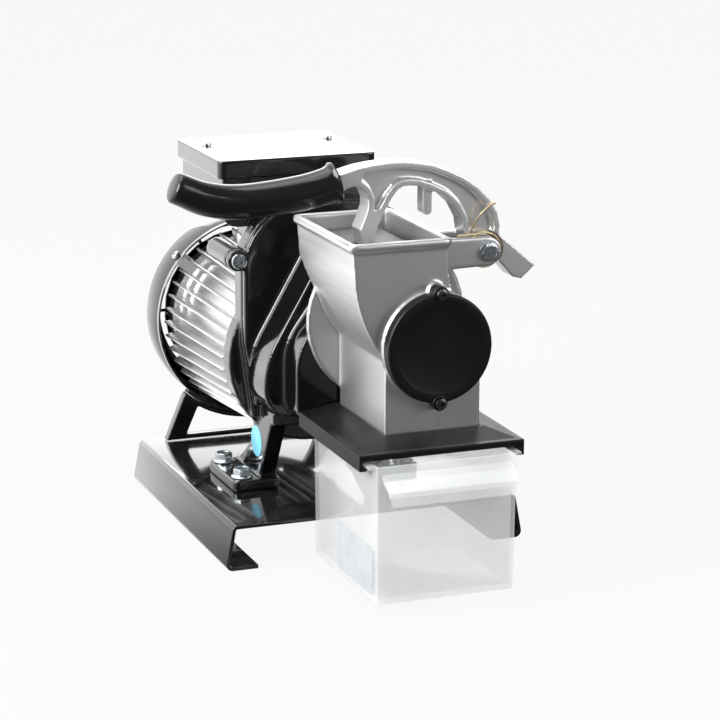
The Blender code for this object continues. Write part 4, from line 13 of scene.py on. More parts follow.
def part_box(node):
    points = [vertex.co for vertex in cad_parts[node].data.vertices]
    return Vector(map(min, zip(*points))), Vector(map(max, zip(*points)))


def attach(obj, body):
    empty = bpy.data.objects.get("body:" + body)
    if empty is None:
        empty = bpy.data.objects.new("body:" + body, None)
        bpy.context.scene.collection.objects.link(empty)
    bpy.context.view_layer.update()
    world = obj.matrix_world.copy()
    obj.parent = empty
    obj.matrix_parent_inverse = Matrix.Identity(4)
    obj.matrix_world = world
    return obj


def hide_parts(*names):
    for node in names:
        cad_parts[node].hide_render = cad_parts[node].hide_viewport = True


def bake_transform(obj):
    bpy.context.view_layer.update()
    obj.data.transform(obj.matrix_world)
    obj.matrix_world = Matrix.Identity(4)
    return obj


bl_info = {
    "name": "Electric grater",
    "version": (1, 0, 0),
    "blender": (4, 5, 0),
    "location": "3D View > Sidebar > Grater",
    "description": "Builds the detailed pieces, finishes and studio of an electric grater",
    "category": "Object",
}

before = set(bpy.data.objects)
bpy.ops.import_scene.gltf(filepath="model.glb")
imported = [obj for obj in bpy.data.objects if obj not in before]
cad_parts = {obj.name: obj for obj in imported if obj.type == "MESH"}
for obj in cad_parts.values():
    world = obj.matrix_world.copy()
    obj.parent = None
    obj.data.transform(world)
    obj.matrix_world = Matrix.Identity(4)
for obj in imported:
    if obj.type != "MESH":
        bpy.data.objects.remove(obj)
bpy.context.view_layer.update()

# Places in metres: X right, Y towards the motor's fan, Z up, before the move onto the frame
PLATE_FRONT = 0.003
PLATE_BACK = 0.265
LEVER_Y = -0.032
LEVER_HALF_WIDTH = 0.010
# Axes along Y, as X and Z
DRUM = (0.007, 0.198)
MOTOR = (-0.02190, 0.14713)
PIVOT = (0.0715, 0.257)
SHIFT = Vector(((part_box("grating_drum")[0].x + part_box("grating_drum")[1].x) / 2 - DRUM[0],
                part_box("base_plate")[0].y - PLATE_FRONT, 0.0))
FORWARD = Vector((0, -1, 0))
BACKWARD = Vector((0, 1, 0))
UPWARD = Vector((0, 0, 1))

# Cells from which mouldings, sheet metal and small pieces get soft edges
BOX_CELL = 0.0009
COLLAR_CELL = 0.0008
LEVER_CELL = 0.0007
PUSHER_CELL = 0.0010
PAD_CELL = 0.0006
BEZEL_CELL = 0.0005
ROCKER_CELL = 0.0004
# The hopper's cell, as a share of the castings', keeps it under 200,000 triangles
HOPPER_CELL_SHARE = 1.03

# Corners round a fastener's head, and points round the finest and the plain turned pieces
HEAD_SIDES = 48
FINE_SIDES = 128
PLAIN_SIDES = 96

# Studio: lamps as name, place, size and watts
LAMPS = (("key", (-1.5, -0.35, 1.05), (1.3, 1.0), 50.0), ("top", (-0.2, 0.1, 1.7), (1.2, 1.2), 12.0),
         ("fill", (1.4, -1.6, 0.9), (1.3, 1.3), 17.0), ("back", (0.5, 1.6, 0.9), (1.2, 0.8), 6.0))
LAMP_AIM = Vector((0.0, 0.0, 0.15))
# Level direction in which mirrored surroundings are brightest
BRIGHT_SIDE = (-0.55, 0.835, 0.0)
FLOOR_HALF = 12.0
PAPER = 0.34
FLOOR_SEEN = 0.92
FLOOR_THROUGH_PLASTIC = 0.25
SKY_LEVEL = 0.48
CAMERA_TARGET = Vector((0.00648, 0.060, 0.14883))
CAMERA_DISTANCE = 2.14233
CAMERA_TURNS = (-21.168, 14.475, 0.2325)
LENS = 130.52
SENSOR = 36.0


def count(name, text, default, low, high):
    return bpy.props.IntProperty(name=name, description=text, default=default, min=low, max=high)


def length(name, text, default):
    return bpy.props.FloatProperty(name=name, description=text, default=default, unit="LENGTH")


def colour(name, text, default):
    return bpy.props.FloatVectorProperty(name=name, description=text, default=default, subtype="COLOR")


class GraterSizes(bpy.types.PropertyGroup):
    """Sizes that a user would change."""

    fin_count: count("Cooling fins", "Fins round the motor's housing", 42, 12, 80)
    fin_tip: length("Fin tip", "Thickness of a fin at its tip", 0.00175)
    fin_root: length("Fin root", "Thickness of a fin at its root", 0.0029)
    burr_columns: count("Burrs round the drum", "Grating burrs in each ring", 30, 6, 60)
    burr_rows: count("Burr rings", "Rings of burrs along the drum", 19, 2, 40)
    burr_height: length("Burr height", "How far a burr stands off the drum", 0.0012)
    grille_spokes: count("Grille spokes", "Spokes of the cowl's rear grille", 6, 3, 12)
    wire: length("Spring wire", "Diameter of the torsion spring's wire", 0.0018)
    casting_cell: length("Casting cell", "Cell from which castings get soft edges", 0.0012)
    sticker_radius: length("Sticker radius", "Radius of the plain round sticker", 0.0130)


class GraterColours(bpy.types.PropertyGroup):
    """Colours that a user would change."""

    paint: colour("Gloss paint", "Base plate, gear case and box", (0.0035, 0.0035, 0.0038))
    cast: colour("Cast aluminium", "Hopper casting", (0.760, 0.752, 0.742))
    polished: colour("Polished aluminium", "Lever", (0.900, 0.888, 0.874))
    grip: colour("Grip", "Dipped grip on the lever", (0.0055, 0.0055, 0.0060))
    clear: colour("Clear plastic", "Drawer", (0.560, 0.568, 0.545))
    sticker: colour("Sticker", "Plain round sticker on the leg", (0.160, 0.560, 0.780))


# Outlines

def polar(radius, degrees):
    angle = math.radians(degrees)
    return radius * math.cos(angle), radius * math.sin(angle)


def arc(centre, radius, start, end, steps):
    turns = [polar(radius, start + (end - start) * step / steps) for step in range(steps + 1)]
    return [(centre[0] + a, centre[1] + b) for a, b in turns]


def circle(centre, radius, sides):
    return arc(centre, radius, 0, 360 - 360 / sides, sides - 1)


def fillet(before, corner, after, radius, steps):
    """The arc that replaces one corner of a path."""
    corner = Vector(corner)
    toward = (Vector(before) - corner).normalized()
    onward = (Vector(after) - corner).normalized()
    half = toward.angle(onward) / 2
    reach = radius / math.tan(half)
    middle = corner + (toward + onward).normalized() * (radius / math.sin(half))
    first = corner + toward * reach - middle
    sweep = first.angle_signed(corner + onward * reach - middle)
    return [tuple(middle + Matrix.Rotation(-sweep * step / steps, 2) @ first) for step in range(steps + 1)]


def rectangle(left, right, low, high, radius=0.0, steps=6):
    """A rectangle's outline, with round corners where it has a radius."""
    corners = [(left, low), (right, low), (right, high), (left, high)]
    if not radius:
        return corners
    outline = []
    for index, corner in enumerate(corners):
        outline += fillet(corners[index - 1], corner, corners[(index + 1) % 4], radius, steps)
    return outline


def offset(path, distance, closed=True):
    """The path moved to its left by a distance, with mitred corners."""
    moved = []
    for index, point in enumerate(path):
        here = Vector(point)
        sides = []
        if closed or index:
            sides.append((here - Vector(path[index - 1])).normalized())
        if closed or index < len(path) - 1:
            sides.append((Vector(path[(index + 1) % len(path)]) - here).normalized())
        normals = [Vector((-side.y, side.x)) for side in sides]
        total = sum(normals, Vector((0, 0)))
        total = total / max(total.dot(normals[0]), 0.2)
        moved.append(tuple(here + total * distance))
    return moved


def inset(outline, distance):
    """The closed outline moved inward."""
    corners = list(zip(outline[-1:] + outline[:-1], outline))
    area = sum(before[0] * here[1] - here[0] * before[1] for before, here in corners)
    return offset(outline, distance if area > 0 else -distance)


def sheet(path, thickness):
    """The outline of a bent sheet about an open path."""
    return offset(path, thickness / 2, False) + offset(path, -thickness / 2, False)[::-1]


def spline(points, index, part):
    """The place and heading of a smooth line, part of the way from one of its points to the next."""
    p0, p1, p2 = points[max(index - 1, 0)], points[index], points[index + 1]
    p3 = points[min(index + 2, len(points) - 1)]
    bend = 2 * p0 - 5 * p1 + 4 * p2 - p3
    twist = 3 * p1 - p0 - 3 * p2 + p3
    spot = 0.5 * (2 * p1 + (p2 - p0) * part + bend * part ** 2 + twist * part ** 3)
    return spot, (p2 - p0 + 2 * bend * part + 3 * twist * part ** 2).normalized()


# Meshes

def from_bmesh(name, form):
    mesh = bpy.data.meshes.new(name)
    form.to_mesh(mesh)
    form.free()
    piece = bpy.data.objects.new(name, mesh)
    bpy.context.scene.collection.objects.link(piece)
    return piece


def ringed(name, rings, capped=True, looped=False):
    """A mesh through rings of points; a ring of one point closes to it."""
    form = bmesh.new()
    rows = [[form.verts.new(point) for point in ring] for ring in rings]
    pairs = list(zip(rows, rows[1:])) + ([(rows[-1], rows[0])] if looped else [])
    for low, high in pairs:
        sides = max(len(low), len(high))
        for step in range(sides):
            after = (step + 1) % sides
            corners = []
            for vertex in (low[step % len(low)], low[after % len(low)], high[after % len(high)],
                           high[step % len(high)]):
                if vertex not in corners:
                    corners.append(vertex)
            if len(corners) > 2:
                form.faces.new(corners)
    if capped and not looped:
        for row in (rows[0], rows[-1]):
            if len(row) > 2:
                form.faces.new(row)
    bmesh.ops.recalc_face_normals(form, faces=form.faces)
    return from_bmesh(name, form)


def lathe(name, profile, centre, sides=PLAIN_SIDES, looped=True):
    """A form turned about an axis along Y, from (radius, Y)."""
    rings = []
    for radius, along in profile:
        ring = circle(centre, radius, sides) if radius else [centre]
        rings.append([Vector((a, along, b)) for a, b in ring])
    return ringed(name, rings, False, looped and len(rings[0]) > 1)


def soft_prism(name, outline, start, end, edge, axis="Y", steps=3):
    """An extrusion along Y or Z with rounded rims."""
    turns = [math.radians(90 * step / steps) for step in range(steps + 1)]
    first = [(edge * (1 - math.sin(turn)), start + edge * (1 - math.cos(turn))) for turn in turns]
    last = [(amount, end - (along - start)) for amount, along in first[::-1]]
    return ringed(name, [[Vector((a, along, b) if axis == "Y" else (a, b, along))
                          for a, b in inset(outline, amount)] for amount, along in first + last])


def merge(name, *pieces):
    """Several meshes as one object."""
    form = bmesh.new()
    for piece in pieces:
        form.from_mesh(piece.data)
        bpy.data.objects.remove(piece)
    return from_bmesh(name, form)


def plain(piece):
    """The evaluated mesh put back as a plain mesh, with no modifier left."""
    bpy.context.view_layer.update()
    graph = bpy.context.evaluated_depsgraph_get()
    mesh = bpy.data.meshes.new_from_object(piece.evaluated_get(graph), preserve_all_data_layers=True,
                                           depsgraph=graph)
    piece.modifiers.clear()
    piece.data = mesh
    return piece


def node_copy(name, source):
    """A merged copy of a frame node, moved back to the pieces' own places."""
    form = bmesh.new()
    form.from_mesh(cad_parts[source].data)
    bmesh.ops.remove_doubles(form, verts=form.verts, dist=0.000002)
    form.transform(Matrix.Translation(-SHIFT))
    return from_bmesh(name, form)


def dress(piece, finish, body, nodes=(), angle=32.0):
    """Finish a piece: place, shading, material, body, and the frame nodes that it stands for."""
    piece.data.transform(Matrix.Translation(SHIFT))
    piece.data.materials.clear()
    piece.data.materials.append(material(finish))
    piece.data.shade_smooth()
    piece.data.set_sharp_from_angle(angle=math.radians(angle))
    if nodes:
        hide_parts(*nodes)
    if body:
        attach(piece, body)
    return piece


def softened(name, source, cell, rounds, finish, body="stand"):
    """A dressed copy of a frame node with the soft edges and fillets of a casting or moulding."""
    piece = node_copy(name, source)
    change = piece.modifiers.new("cells", "REMESH")
    change.mode = "VOXEL"
    change.voxel_size = cell
    change.adaptivity = 0.0
    ease = piece.modifiers.new("ease", "SMOOTH")
    ease.factor = 0.5
    ease.iterations = rounds
    return dress(plain(piece), finish, body, [source], 180)


def bevelled(name, source, width, segments):
    """A copy of a frame node with narrow rounded edges."""
    piece = node_copy(name, source)
    form = bmesh.new()
    form.from_mesh(piece.data)
    bmesh.ops.dissolve_limit(form, angle_limit=math.radians(1), verts=form.verts, edges=form.edges)
    form.to_mesh(piece.data)
    form.free()
    change = piece.modifiers.new("edges", "BEVEL")
    change.width = width
    change.segments = segments
    change.limit_method = "ANGLE"
    change.angle_limit = math.radians(40)
    change.use_clamp_overlap = False
    return plain(piece)


# Node trees

def node(tree, kind, feeds=None, **settings):
    """A node with its settings made and its inputs linked or set."""
    made = tree.nodes.new(kind)
    for key, value in settings.items():
        setattr(made, key, value)
    for key, value in (feeds or {}).items():
        if isinstance(value, bpy.types.NodeSocket):
            tree.links.new(value, made.inputs[key])
        else:
            made.inputs[key].default_value = value
    return made


def result_of(tree, kind, feeds=None, **settings):
    """The first output of a new node."""
    return node(tree, kind, feeds, **settings).outputs[0]


def maths(tree, operation, first, second=0.0):
    return result_of(tree, "ShaderNodeMath", {0: first, 1: second}, operation=operation)


def ramp(tree, value, low, high, first=0.0, last=1.0):
    """A value mapped from one span to another."""
    return result_of(tree, "ShaderNodeMapRange", {"Value": value, "From Min": low, "From Max": high,
                                                  "To Min": first, "To Max": last})


def turn_about(tree, axis, angle):
    """A rotation by an angle about one axis."""
    angles = result_of(tree, "ShaderNodeCombineXYZ", {axis: angle})
    return result_of(tree, "FunctionNodeEulerToRotation", {0: angles})


def noise(tree, given, scale, detail):
    return result_of(tree, "ShaderNodeTexNoise", {"Vector": given["Vector"], "Scale": scale,
                                                  "Detail": detail})


def shared_group(name, kind, inputs, outputs):
    """Makes a function that fills a tree give the one group of that name, made when first asked for."""
    def wrap(fill):
        def group():
            if name in bpy.data.node_groups:
                return bpy.data.node_groups[name]
            tree = bpy.data.node_groups.new(name, kind)
            for label, socket, default in inputs:
                made = tree.interface.new_socket(name=label, in_out="INPUT",
                                                 socket_type="NodeSocket" + socket)
                if default is not None:
                    made.default_value = default
            for label, socket in outputs:
                tree.interface.new_socket(name=label, in_out="OUTPUT", socket_type="NodeSocket" + socket)
            given, result = tree.nodes.new("NodeGroupInput"), tree.nodes.new("NodeGroupOutput")
            for label, socket in fill(tree, given.outputs).items():
                tree.links.new(socket, result.inputs[label])
            return tree
        return group
    return wrap


def finished(tree, geometry, given):
    """Every geometry tree ends in real geometry with its material."""
    real = result_of(tree, "GeometryNodeRealizeInstances", {"Geometry": geometry})
    painted = result_of(tree, "GeometryNodeSetMaterial", {"Geometry": real, "Material": given["Material"]})
    return {"Geometry": painted}


@shared_group("repeat_about_axis", "GeometryNodeTree",
              [("Geometry", "Geometry", None), ("Count", "Int", 12), ("Rows", "Int", 1),
               ("Centre", "Vector", None), ("Row pitch", "Float", 0.0), ("Row turn", "Float", 0.0),
               ("Material", "Material", None)], [("Geometry", "Geometry")])
def axis_tree(tree, given):
    """Repeats the object's own form about an axis along Y, in one or more rows."""
    index = result_of(tree, "GeometryNodeInputIndex")
    row = maths(tree, "FLOOR", maths(tree, "DIVIDE", index, given["Count"]))
    column = maths(tree, "MODULO", index, given["Count"])
    step = maths(tree, "DIVIDE", 2 * math.pi, given["Count"])
    angle = maths(tree, "ADD", maths(tree, "MULTIPLY", column, step),
                  maths(tree, "MULTIPLY", row, given["Row turn"]))
    along = result_of(tree, "ShaderNodeCombineXYZ", {"Y": maths(tree, "MULTIPLY", row, given["Row pitch"])})
    spot = result_of(tree, "ShaderNodeVectorMath", {0: given["Centre"], 1: along}, operation="ADD")
    total = maths(tree, "MULTIPLY", given["Count"], given["Rows"])
    points = result_of(tree, "GeometryNodePoints", {"Count": total, "Position": spot})
    back = result_of(tree, "ShaderNodeVectorMath", {0: given["Centre"], 1: (-1, -1, -1)},
                     operation="MULTIPLY")
    centred = result_of(tree, "GeometryNodeTransform", {"Geometry": given["Geometry"], "Translation": back})
    copies = result_of(tree, "GeometryNodeInstanceOnPoints", {"Points": points, "Instance": centred,
                                                              "Rotation": turn_about(tree, "Y", angle)})
    return finished(tree, copies, given)


@shared_group("fasteners_at_points", "GeometryNodeTree",
              [("Geometry", "Geometry", None), ("Fastener", "Object", None), ("Spin", "Float", 0.0),
               ("Material", "Material", None)], [("Geometry", "Geometry")])
def fastener_tree(tree, given):
    """Puts a fastener at each point of the object, with its head along the point's facing."""
    source = node(tree, "GeometryNodeObjectInfo", {"Object": given["Fastener"]}, transform_space="ORIGINAL")
    facing = result_of(tree, "GeometryNodeInputNamedAttribute", {"Name": "facing"}, data_type="FLOAT_VECTOR")
    angle = maths(tree, "MULTIPLY", result_of(tree, "GeometryNodeInputIndex"), given["Spin"])
    turn = result_of(tree, "FunctionNodeAlignRotationToVector", {"Vector": facing}, axis="Z")
    both = result_of(tree, "FunctionNodeRotateRotation", {0: turn, 1: turn_about(tree, "Z", angle)},
                     rotation_space="LOCAL")
    copies = result_of(tree, "GeometryNodeInstanceOnPoints", {"Points": given["Geometry"],
                                                              "Instance": source.outputs["Geometry"],
                                                              "Rotation": both})
    return finished(tree, copies, given)


@shared_group("wire_along_path", "GeometryNodeTree",
              [("Geometry", "Geometry", None), ("Radius", "Float", 0.001), ("Sides", "Int", 12),
               ("Material", "Material", None)], [("Geometry", "Geometry")])
def wire_tree(tree, given):
    """Sweeps a round wire along the object's edges."""
    path = result_of(tree, "GeometryNodeMeshToCurve", {"Mesh": given["Geometry"]})
    ring = result_of(tree, "GeometryNodeCurvePrimitiveCircle", {"Resolution": given["Sides"],
                                                                "Radius": given["Radius"]})
    swept = result_of(tree, "GeometryNodeCurveToMesh", {"Curve": path, "Profile Curve": ring,
                                                        "Fill Caps": True})
    return finished(tree, swept, given)


def grow(piece, tree, finish, **values):
    """Run a geometry tree on a piece and keep the result as its plain mesh."""
    change = piece.modifiers.new(tree.name, "NODES")
    change.node_group = tree
    values["Material"] = material(finish)
    for item in tree.interface.items_tree:
        label = item.name.replace(" ", "_")
        if item.item_type == "SOCKET" and item.in_out == "INPUT" and label in values:
            change[item.identifier] = values[label]
    return plain(piece)


# Fasteners

def hexagon_reach(across, angle):
    """How far a hexagon's edge lies from its middle at an angle."""
    return across / 2 / math.cos((angle % (math.pi / 3)) - math.pi / 6)


def head(profile, hexagon=None, recess=None, depth=0.0, shank=0.0, length=0.0):
    """A fastener with its seat at zero and its head upwards.

    The profile lists (radius, height, angular). The hexagon limits the radius of an angular ring, and a
    recess is a function of the angle.
    """
    turns = [2 * math.pi * step / HEAD_SIDES for step in range(HEAD_SIDES)]

    def ring(reach, height):
        return [Vector((reach(t) * math.cos(t), reach(t) * math.sin(t), height)) for t in turns]

    rings = []
    if shank:
        for share, height in ((0.82, -length), (1.0, -length + shank * 0.2), (1.0, 0.0)):
            rings.append(ring(lambda t: shank * share, height))
    for radius, height, angular in profile:
        if angular:
            rings.append(ring(lambda t: min(radius, hexagon_reach(hexagon, t)), height))
        else:
            rings.append(ring(lambda t: radius, height))
    if recess:
        top = profile[-1][1]
        for share, height in ((1.0, top), (0.94, top - depth)):
            rings.append(ring(lambda t: recess(t) * share, height))
    return ringed("fastener", rings)


def hex_bolt(across, flange, total, shank=0.0, length=0.0):
    """A flanged hexagon bolt, or a nut if it has no shank, with a dished crown."""
    return head([(flange * 0.97, 0, False), (flange, total * 0.05, False), (flange, total * 0.13, False),
                 (flange * 0.93, total * 0.2, False), (across * 0.60, total * 0.3, False),
                 (across * 0.60, total * 0.32, True), (across * 0.60, total * 0.86, True),
                 (across * 0.535, total * 0.95, True), (across * 0.47, total, True),
                 (across * 0.36, total * 0.99, False), (across * 0.33, total * 0.93, False)],
                hexagon=across, shank=shank / 2, length=length)


def hex_socket(size):
    return lambda t: hexagon_reach(size, t)


def cross_socket(size):
    return lambda t: size * (0.24 + 0.26 * max(math.cos(4 * t), 0) ** 3)


def cap_screw(radius, height, socket, depth, shank, length):
    return head([(radius * 0.95, 0, False), (radius, height * 0.12, False), (radius, height * 0.55, False),
                 (radius * 0.93, height * 0.82, False), (radius * 0.78, height * 0.97, False),
                 (radius * 0.64, height, False)], recess=socket, depth=depth, shank=shank, length=length)


def fasteners(name, places, source, finish, nodes, spin=0.0):
    """Copies of one fastener at (point, facing) places, dressed as frame nodes of the stand."""
    form = bmesh.new()
    for point, _ in places:
        form.verts.new(point)
    piece = from_bmesh(name, form)
    facing = piece.data.attributes.new("facing", "FLOAT_VECTOR", "POINT")
    for item, (_, way) in zip(facing.data, places):
        item.vector = way
    grow(piece, fastener_tree(), finish, Fastener=source, Spin=spin)
    bpy.data.objects.remove(source)
    return dress(piece, finish, "stand", nodes)


# Shader groups

@shared_group("surface_grain", "ShaderNodeTree",
              [("Vector", "Vector", None), ("Stretch", "Vector", None), ("Scale", "Float", 400.0),
               ("Detail", "Float", 4.0)], [("Value", "Float"), ("Mask", "Float")])
def grain_group(tree, given):
    """Noise pulled along an axis, plain and as a mask of patches."""
    pulled = result_of(tree, "ShaderNodeVectorMath", {0: given["Vector"], 1: given["Stretch"]},
                       operation="MULTIPLY")
    value = result_of(tree, "ShaderNodeTexNoise", {"Vector": pulled, "Scale": given["Scale"],
                                                   "Detail": given["Detail"], "Roughness": 0.6})
    return {"Value": value, "Mask": ramp(tree, value, 0.38, 0.64)}


@shared_group("casting_pits", "ShaderNodeTree", [("Vector", "Vector", None), ("Scale", "Float", 600.0),
                                                 ("Size", "Float", 0.2)], [("Mask", "Float")])
def pits_group(tree, given):
    """Small pits in patches."""
    cells = result_of(tree, "ShaderNodeTexVoronoi", {"Vector": given["Vector"], "Scale": given["Scale"]})
    dots = ramp(tree, cells, given["Size"], 0.02)
    return {"Mask": maths(tree, "MULTIPLY", dots, ramp(tree, noise(tree, given, 55.0, 2.0), 0.42, 0.62))}


@shared_group("edge_wear", "ShaderNodeTree", [("Vector", "Vector", None), ("Amount", "Float", 0.5)],
              [("Mask", "Float")])
def wear_group(tree, given):
    """Broken wear along outer edges."""
    edge = ramp(tree, tree.nodes.new("ShaderNodeNewGeometry").outputs["Pointiness"], 0.53, 0.60)
    broken = ramp(tree, noise(tree, given, 130.0, 5.0), 0.40, 0.62)
    return {"Mask": maths(tree, "MULTIPLY", maths(tree, "MULTIPLY", edge, broken), given["Amount"])}


@shared_group("settled_dust", "ShaderNodeTree", [("Vector", "Vector", None), ("Amount", "Float", 0.1)],
              [("Mask", "Float")])
def dust_group(tree, given):
    """Patches on what faces up."""
    shape = tree.nodes.new("ShaderNodeNewGeometry")
    parts = node(tree, "ShaderNodeSeparateXYZ", {0: shape.outputs["Normal"]})
    level = ramp(tree, parts.outputs["Z"], 0.5, 1.0)
    patch = ramp(tree, noise(tree, given, 38.0, 6.0), 0.40, 0.72)
    return {"Mask": maths(tree, "MULTIPLY", maths(tree, "MULTIPLY", level, patch), given["Amount"])}


@shared_group("fine_lines", "ShaderNodeTree",
              [("Vector", "Vector", None), ("Direction", "Vector", None), ("Pitch", "Float", 0.0005)],
              [("Value", "Float")])
def bands_group(tree, given):
    """Fine parallel lines across a direction, such as stacked sheets, turned rings or wound wire."""
    along = node(tree, "ShaderNodeVectorMath", {0: given["Vector"], 1: given["Direction"]},
                 operation="DOT_PRODUCT")
    turns = maths(tree, "MULTIPLY", maths(tree, "DIVIDE", along.outputs["Value"], given["Pitch"]),
                  2 * math.pi)
    return {"Value": maths(tree, "ADD", maths(tree, "MULTIPLY", maths(tree, "SINE", turns), 0.5), 0.5)}


# Finishes

def grey(level):
    return level, level, level


def finish(slot, colour, second, rough, scale, grain, depth, metal=0.0, stretch=(1, 1, 1), **more):
    """A finish.

    Its two colours, of which the first may be a user's colour by name, mix in patches. The finer grain sets
    where its roughness lies in its span, and its bump. More may be wear as an amount and a colour, lines as a
    direction, pitch and depth, pits, dust, coat, specular and clear.
    """
    return dict(slot=slot, colour=colour, second=second, rough=rough, scale=scale, grain=grain, depth=depth,
                metal=metal, stretch=stretch, **more)


FINISHES = {
    "gloss_paint": finish("black_gloss_paint", "paint", (0.0070, 0.0070, 0.0075), (0.07, 0.14), 9.0, 420.0,
                          0.00003, wear=(0.35, grey(0.10)), dust=0.06, coat=1.0, specular=0.3),
    "cast_aluminium": finish("cast_aluminium", "cast", (0.62, 0.612, 0.602), (0.30, 0.46), 14.0, 1500.0,
                             0.00009, metal=0.50, wear=(0.6, grey(0.80)), pits=900.0),
    # The pusher's cast aluminium, darkened as painted shade for the shaded inside of the hopper
    "pusher_grey": finish("cast_aluminium", (0.17, 0.17, 0.175), (0.12, 0.12, 0.125), (0.38, 0.52), 30.0,
                          1500.0, 0.00006, metal=0.5, wear=(0.5, grey(0.50)), pits=900.0),
    "polished_aluminium": finish("polished_aluminium", "polished", (0.74, 0.732, 0.722), (0.17, 0.32), 26.0,
                                 900.0, 0.00004, metal=0.42, wear=(0.7, grey(0.90)), pits=420.0),
    "fin_aluminium": finish("cast_aluminium", (0.80, 0.80, 0.81), grey(0.62), (0.26, 0.40), 30.0, 1100.0,
                            0.00005, metal=1.0, stretch=(1, 0.12, 1), wear=(0.4, grey(0.92)), pits=500.0),
    "stainless": finish("stainless_drum", (0.62, 0.61, 0.60), (0.48, 0.48, 0.47), (0.16, 0.34), 60.0, 700.0,
                        0.00003, metal=1.0, stretch=(1, 14, 1), wear=(0.5, grey(0.85))),
    "zinc": finish("zinc_plated", (0.66, 0.70, 0.72), (0.50, 0.56, 0.60), (0.14, 0.30), 240.0, 1400.0,
                   0.00002, metal=1.0, wear=(0.5, (0.90, 0.90, 0.88))),
    "yellow_zinc": finish("yellow_zinc", (0.66, 0.54, 0.33), (0.50, 0.44, 0.36), (0.20, 0.34), 160.0, 1200.0,
                          0.00002, metal=1.0, wear=(0.4, (0.80, 0.76, 0.62))),
    "steel": finish("machined_steel", (0.42, 0.42, 0.43), (0.30, 0.30, 0.31), (0.24, 0.40), 90.0, 900.0,
                    0.00003, metal=1.0, stretch=(1, 6, 1), lines=((0, 1, 0), 0.0006, 0.00003)),
    "lamination": finish("lamination_steel", (0.22, 0.22, 0.23), (0.13, 0.12, 0.12), (0.40, 0.60), 70.0,
                         600.0, 0.00003, metal=1.0, lines=((0, 1, 0), 0.0010, 0.00012)),
    "copper": finish("copper_winding", (0.46, 0.16, 0.06), (0.30, 0.09, 0.03), (0.22, 0.40), 110.0, 500.0,
                     0.00004, metal=1.0, lines=((0.6, 0.8, 0.4), 0.0009, 0.00025)),
    "bronze": finish("bronze", (0.55, 0.35, 0.14), (0.42, 0.26, 0.10), (0.36, 0.52), 120.0, 1600.0, 0.00005,
                     metal=1.0, pits=1400.0),
    "rubber": finish("black_rubber", grey(0.016), grey(0.028), (0.62, 0.80), 60.0, 1800.0, 0.00006,
                     dust=0.25),
    "fibre": finish("gasket_fibre", (0.050, 0.045, 0.040), (0.030, 0.028, 0.025), (0.75, 0.92), 380.0,
                    1500.0, 0.00008, stretch=(1, 0.3, 1)),
    "satin_plastic": finish("black_plastic", (0.0045, 0.0045, 0.0048), (0.0070, 0.0070, 0.0072),
                            (0.30, 0.42), 40.0, 2200.0, 0.00005, wear=(0.4, grey(0.06)), dust=0.02,
                            specular=0.15),
    "cover_black": finish("black_plastic", (0.0035, 0.0033, 0.0033), (0.0055, 0.0052, 0.0052), (0.30, 0.40),
                          22.0, 1900.0, 0.00004, wear=(0.5, grey(0.05)), dust=0.02, specular=0.3),
    "grip": finish("grip_plastic", "grip", (0.010, 0.010, 0.011), (0.13, 0.24), 30.0, 260.0, 0.00006,
                   stretch=(0.3, 1, 1), coat=0.35, dust=0.02, specular=0.3),
    "dark_screw": finish("zinc_plated", (0.075, 0.075, 0.080), grey(0.13), (0.22, 0.36), 240.0, 1400.0,
                         0.00002, metal=1.0, wear=(0.9, (0.50, 0.50, 0.48))),
    "white_plastic": finish("white_plastic", (0.70, 0.69, 0.66), (0.62, 0.61, 0.58), (0.34, 0.48), 50.0,
                            1500.0, 0.00003),
    "clear_plastic": finish("clear_plastic", "clear", (0.530, 0.538, 0.512), (0.01, 0.05), 24.0, 160.0,
                            0.00003, stretch=(1, 1, 0.4), clear=0.98, specular=0.35),
    "sticker": finish("white_plastic", "sticker", (0.240, 0.640, 0.820), (0.24, 0.34), 90.0, 1300.0,
                      0.00002),
    "label": finish("white_plastic", (0.52, 0.54, 0.56), (0.47, 0.49, 0.52), (0.45, 0.60), 70.0, 1700.0,
                    0.00003),
}
DUST_COLOUR = (0.30, 0.29, 0.27)
PIT_SIZE = 0.30
PIT_DARKNESS = 0.35
PLASTIC_IOR = 1.49
COAT_ROUGHNESS = 0.06

# The finish of each frame node that stays as it is
KEPT = {
    "fibre": ["case_gasket"],
    "steel": ["motor_shaft", "output_shaft", "pinion_gear", "drive_gear"],
    "lamination": ["rotor", "stator_core"],
    "copper": ["stator_winding"],
    "stainless": ["motor_bearing_front", "motor_bearing_rear", "output_bearing_front", "output_bearing_rear"],
    "rubber": ["oil_seal"],
    "bronze": ["cover_bush"],
    "fin_aluminium": ["motor_end_shield"],
    "zinc": ["nut_strip_left", "nut_strip_right", "pusher_screw"],
    "satin_plastic": ["cooling_fan"],
    "white_plastic": ["capacitor"],
}


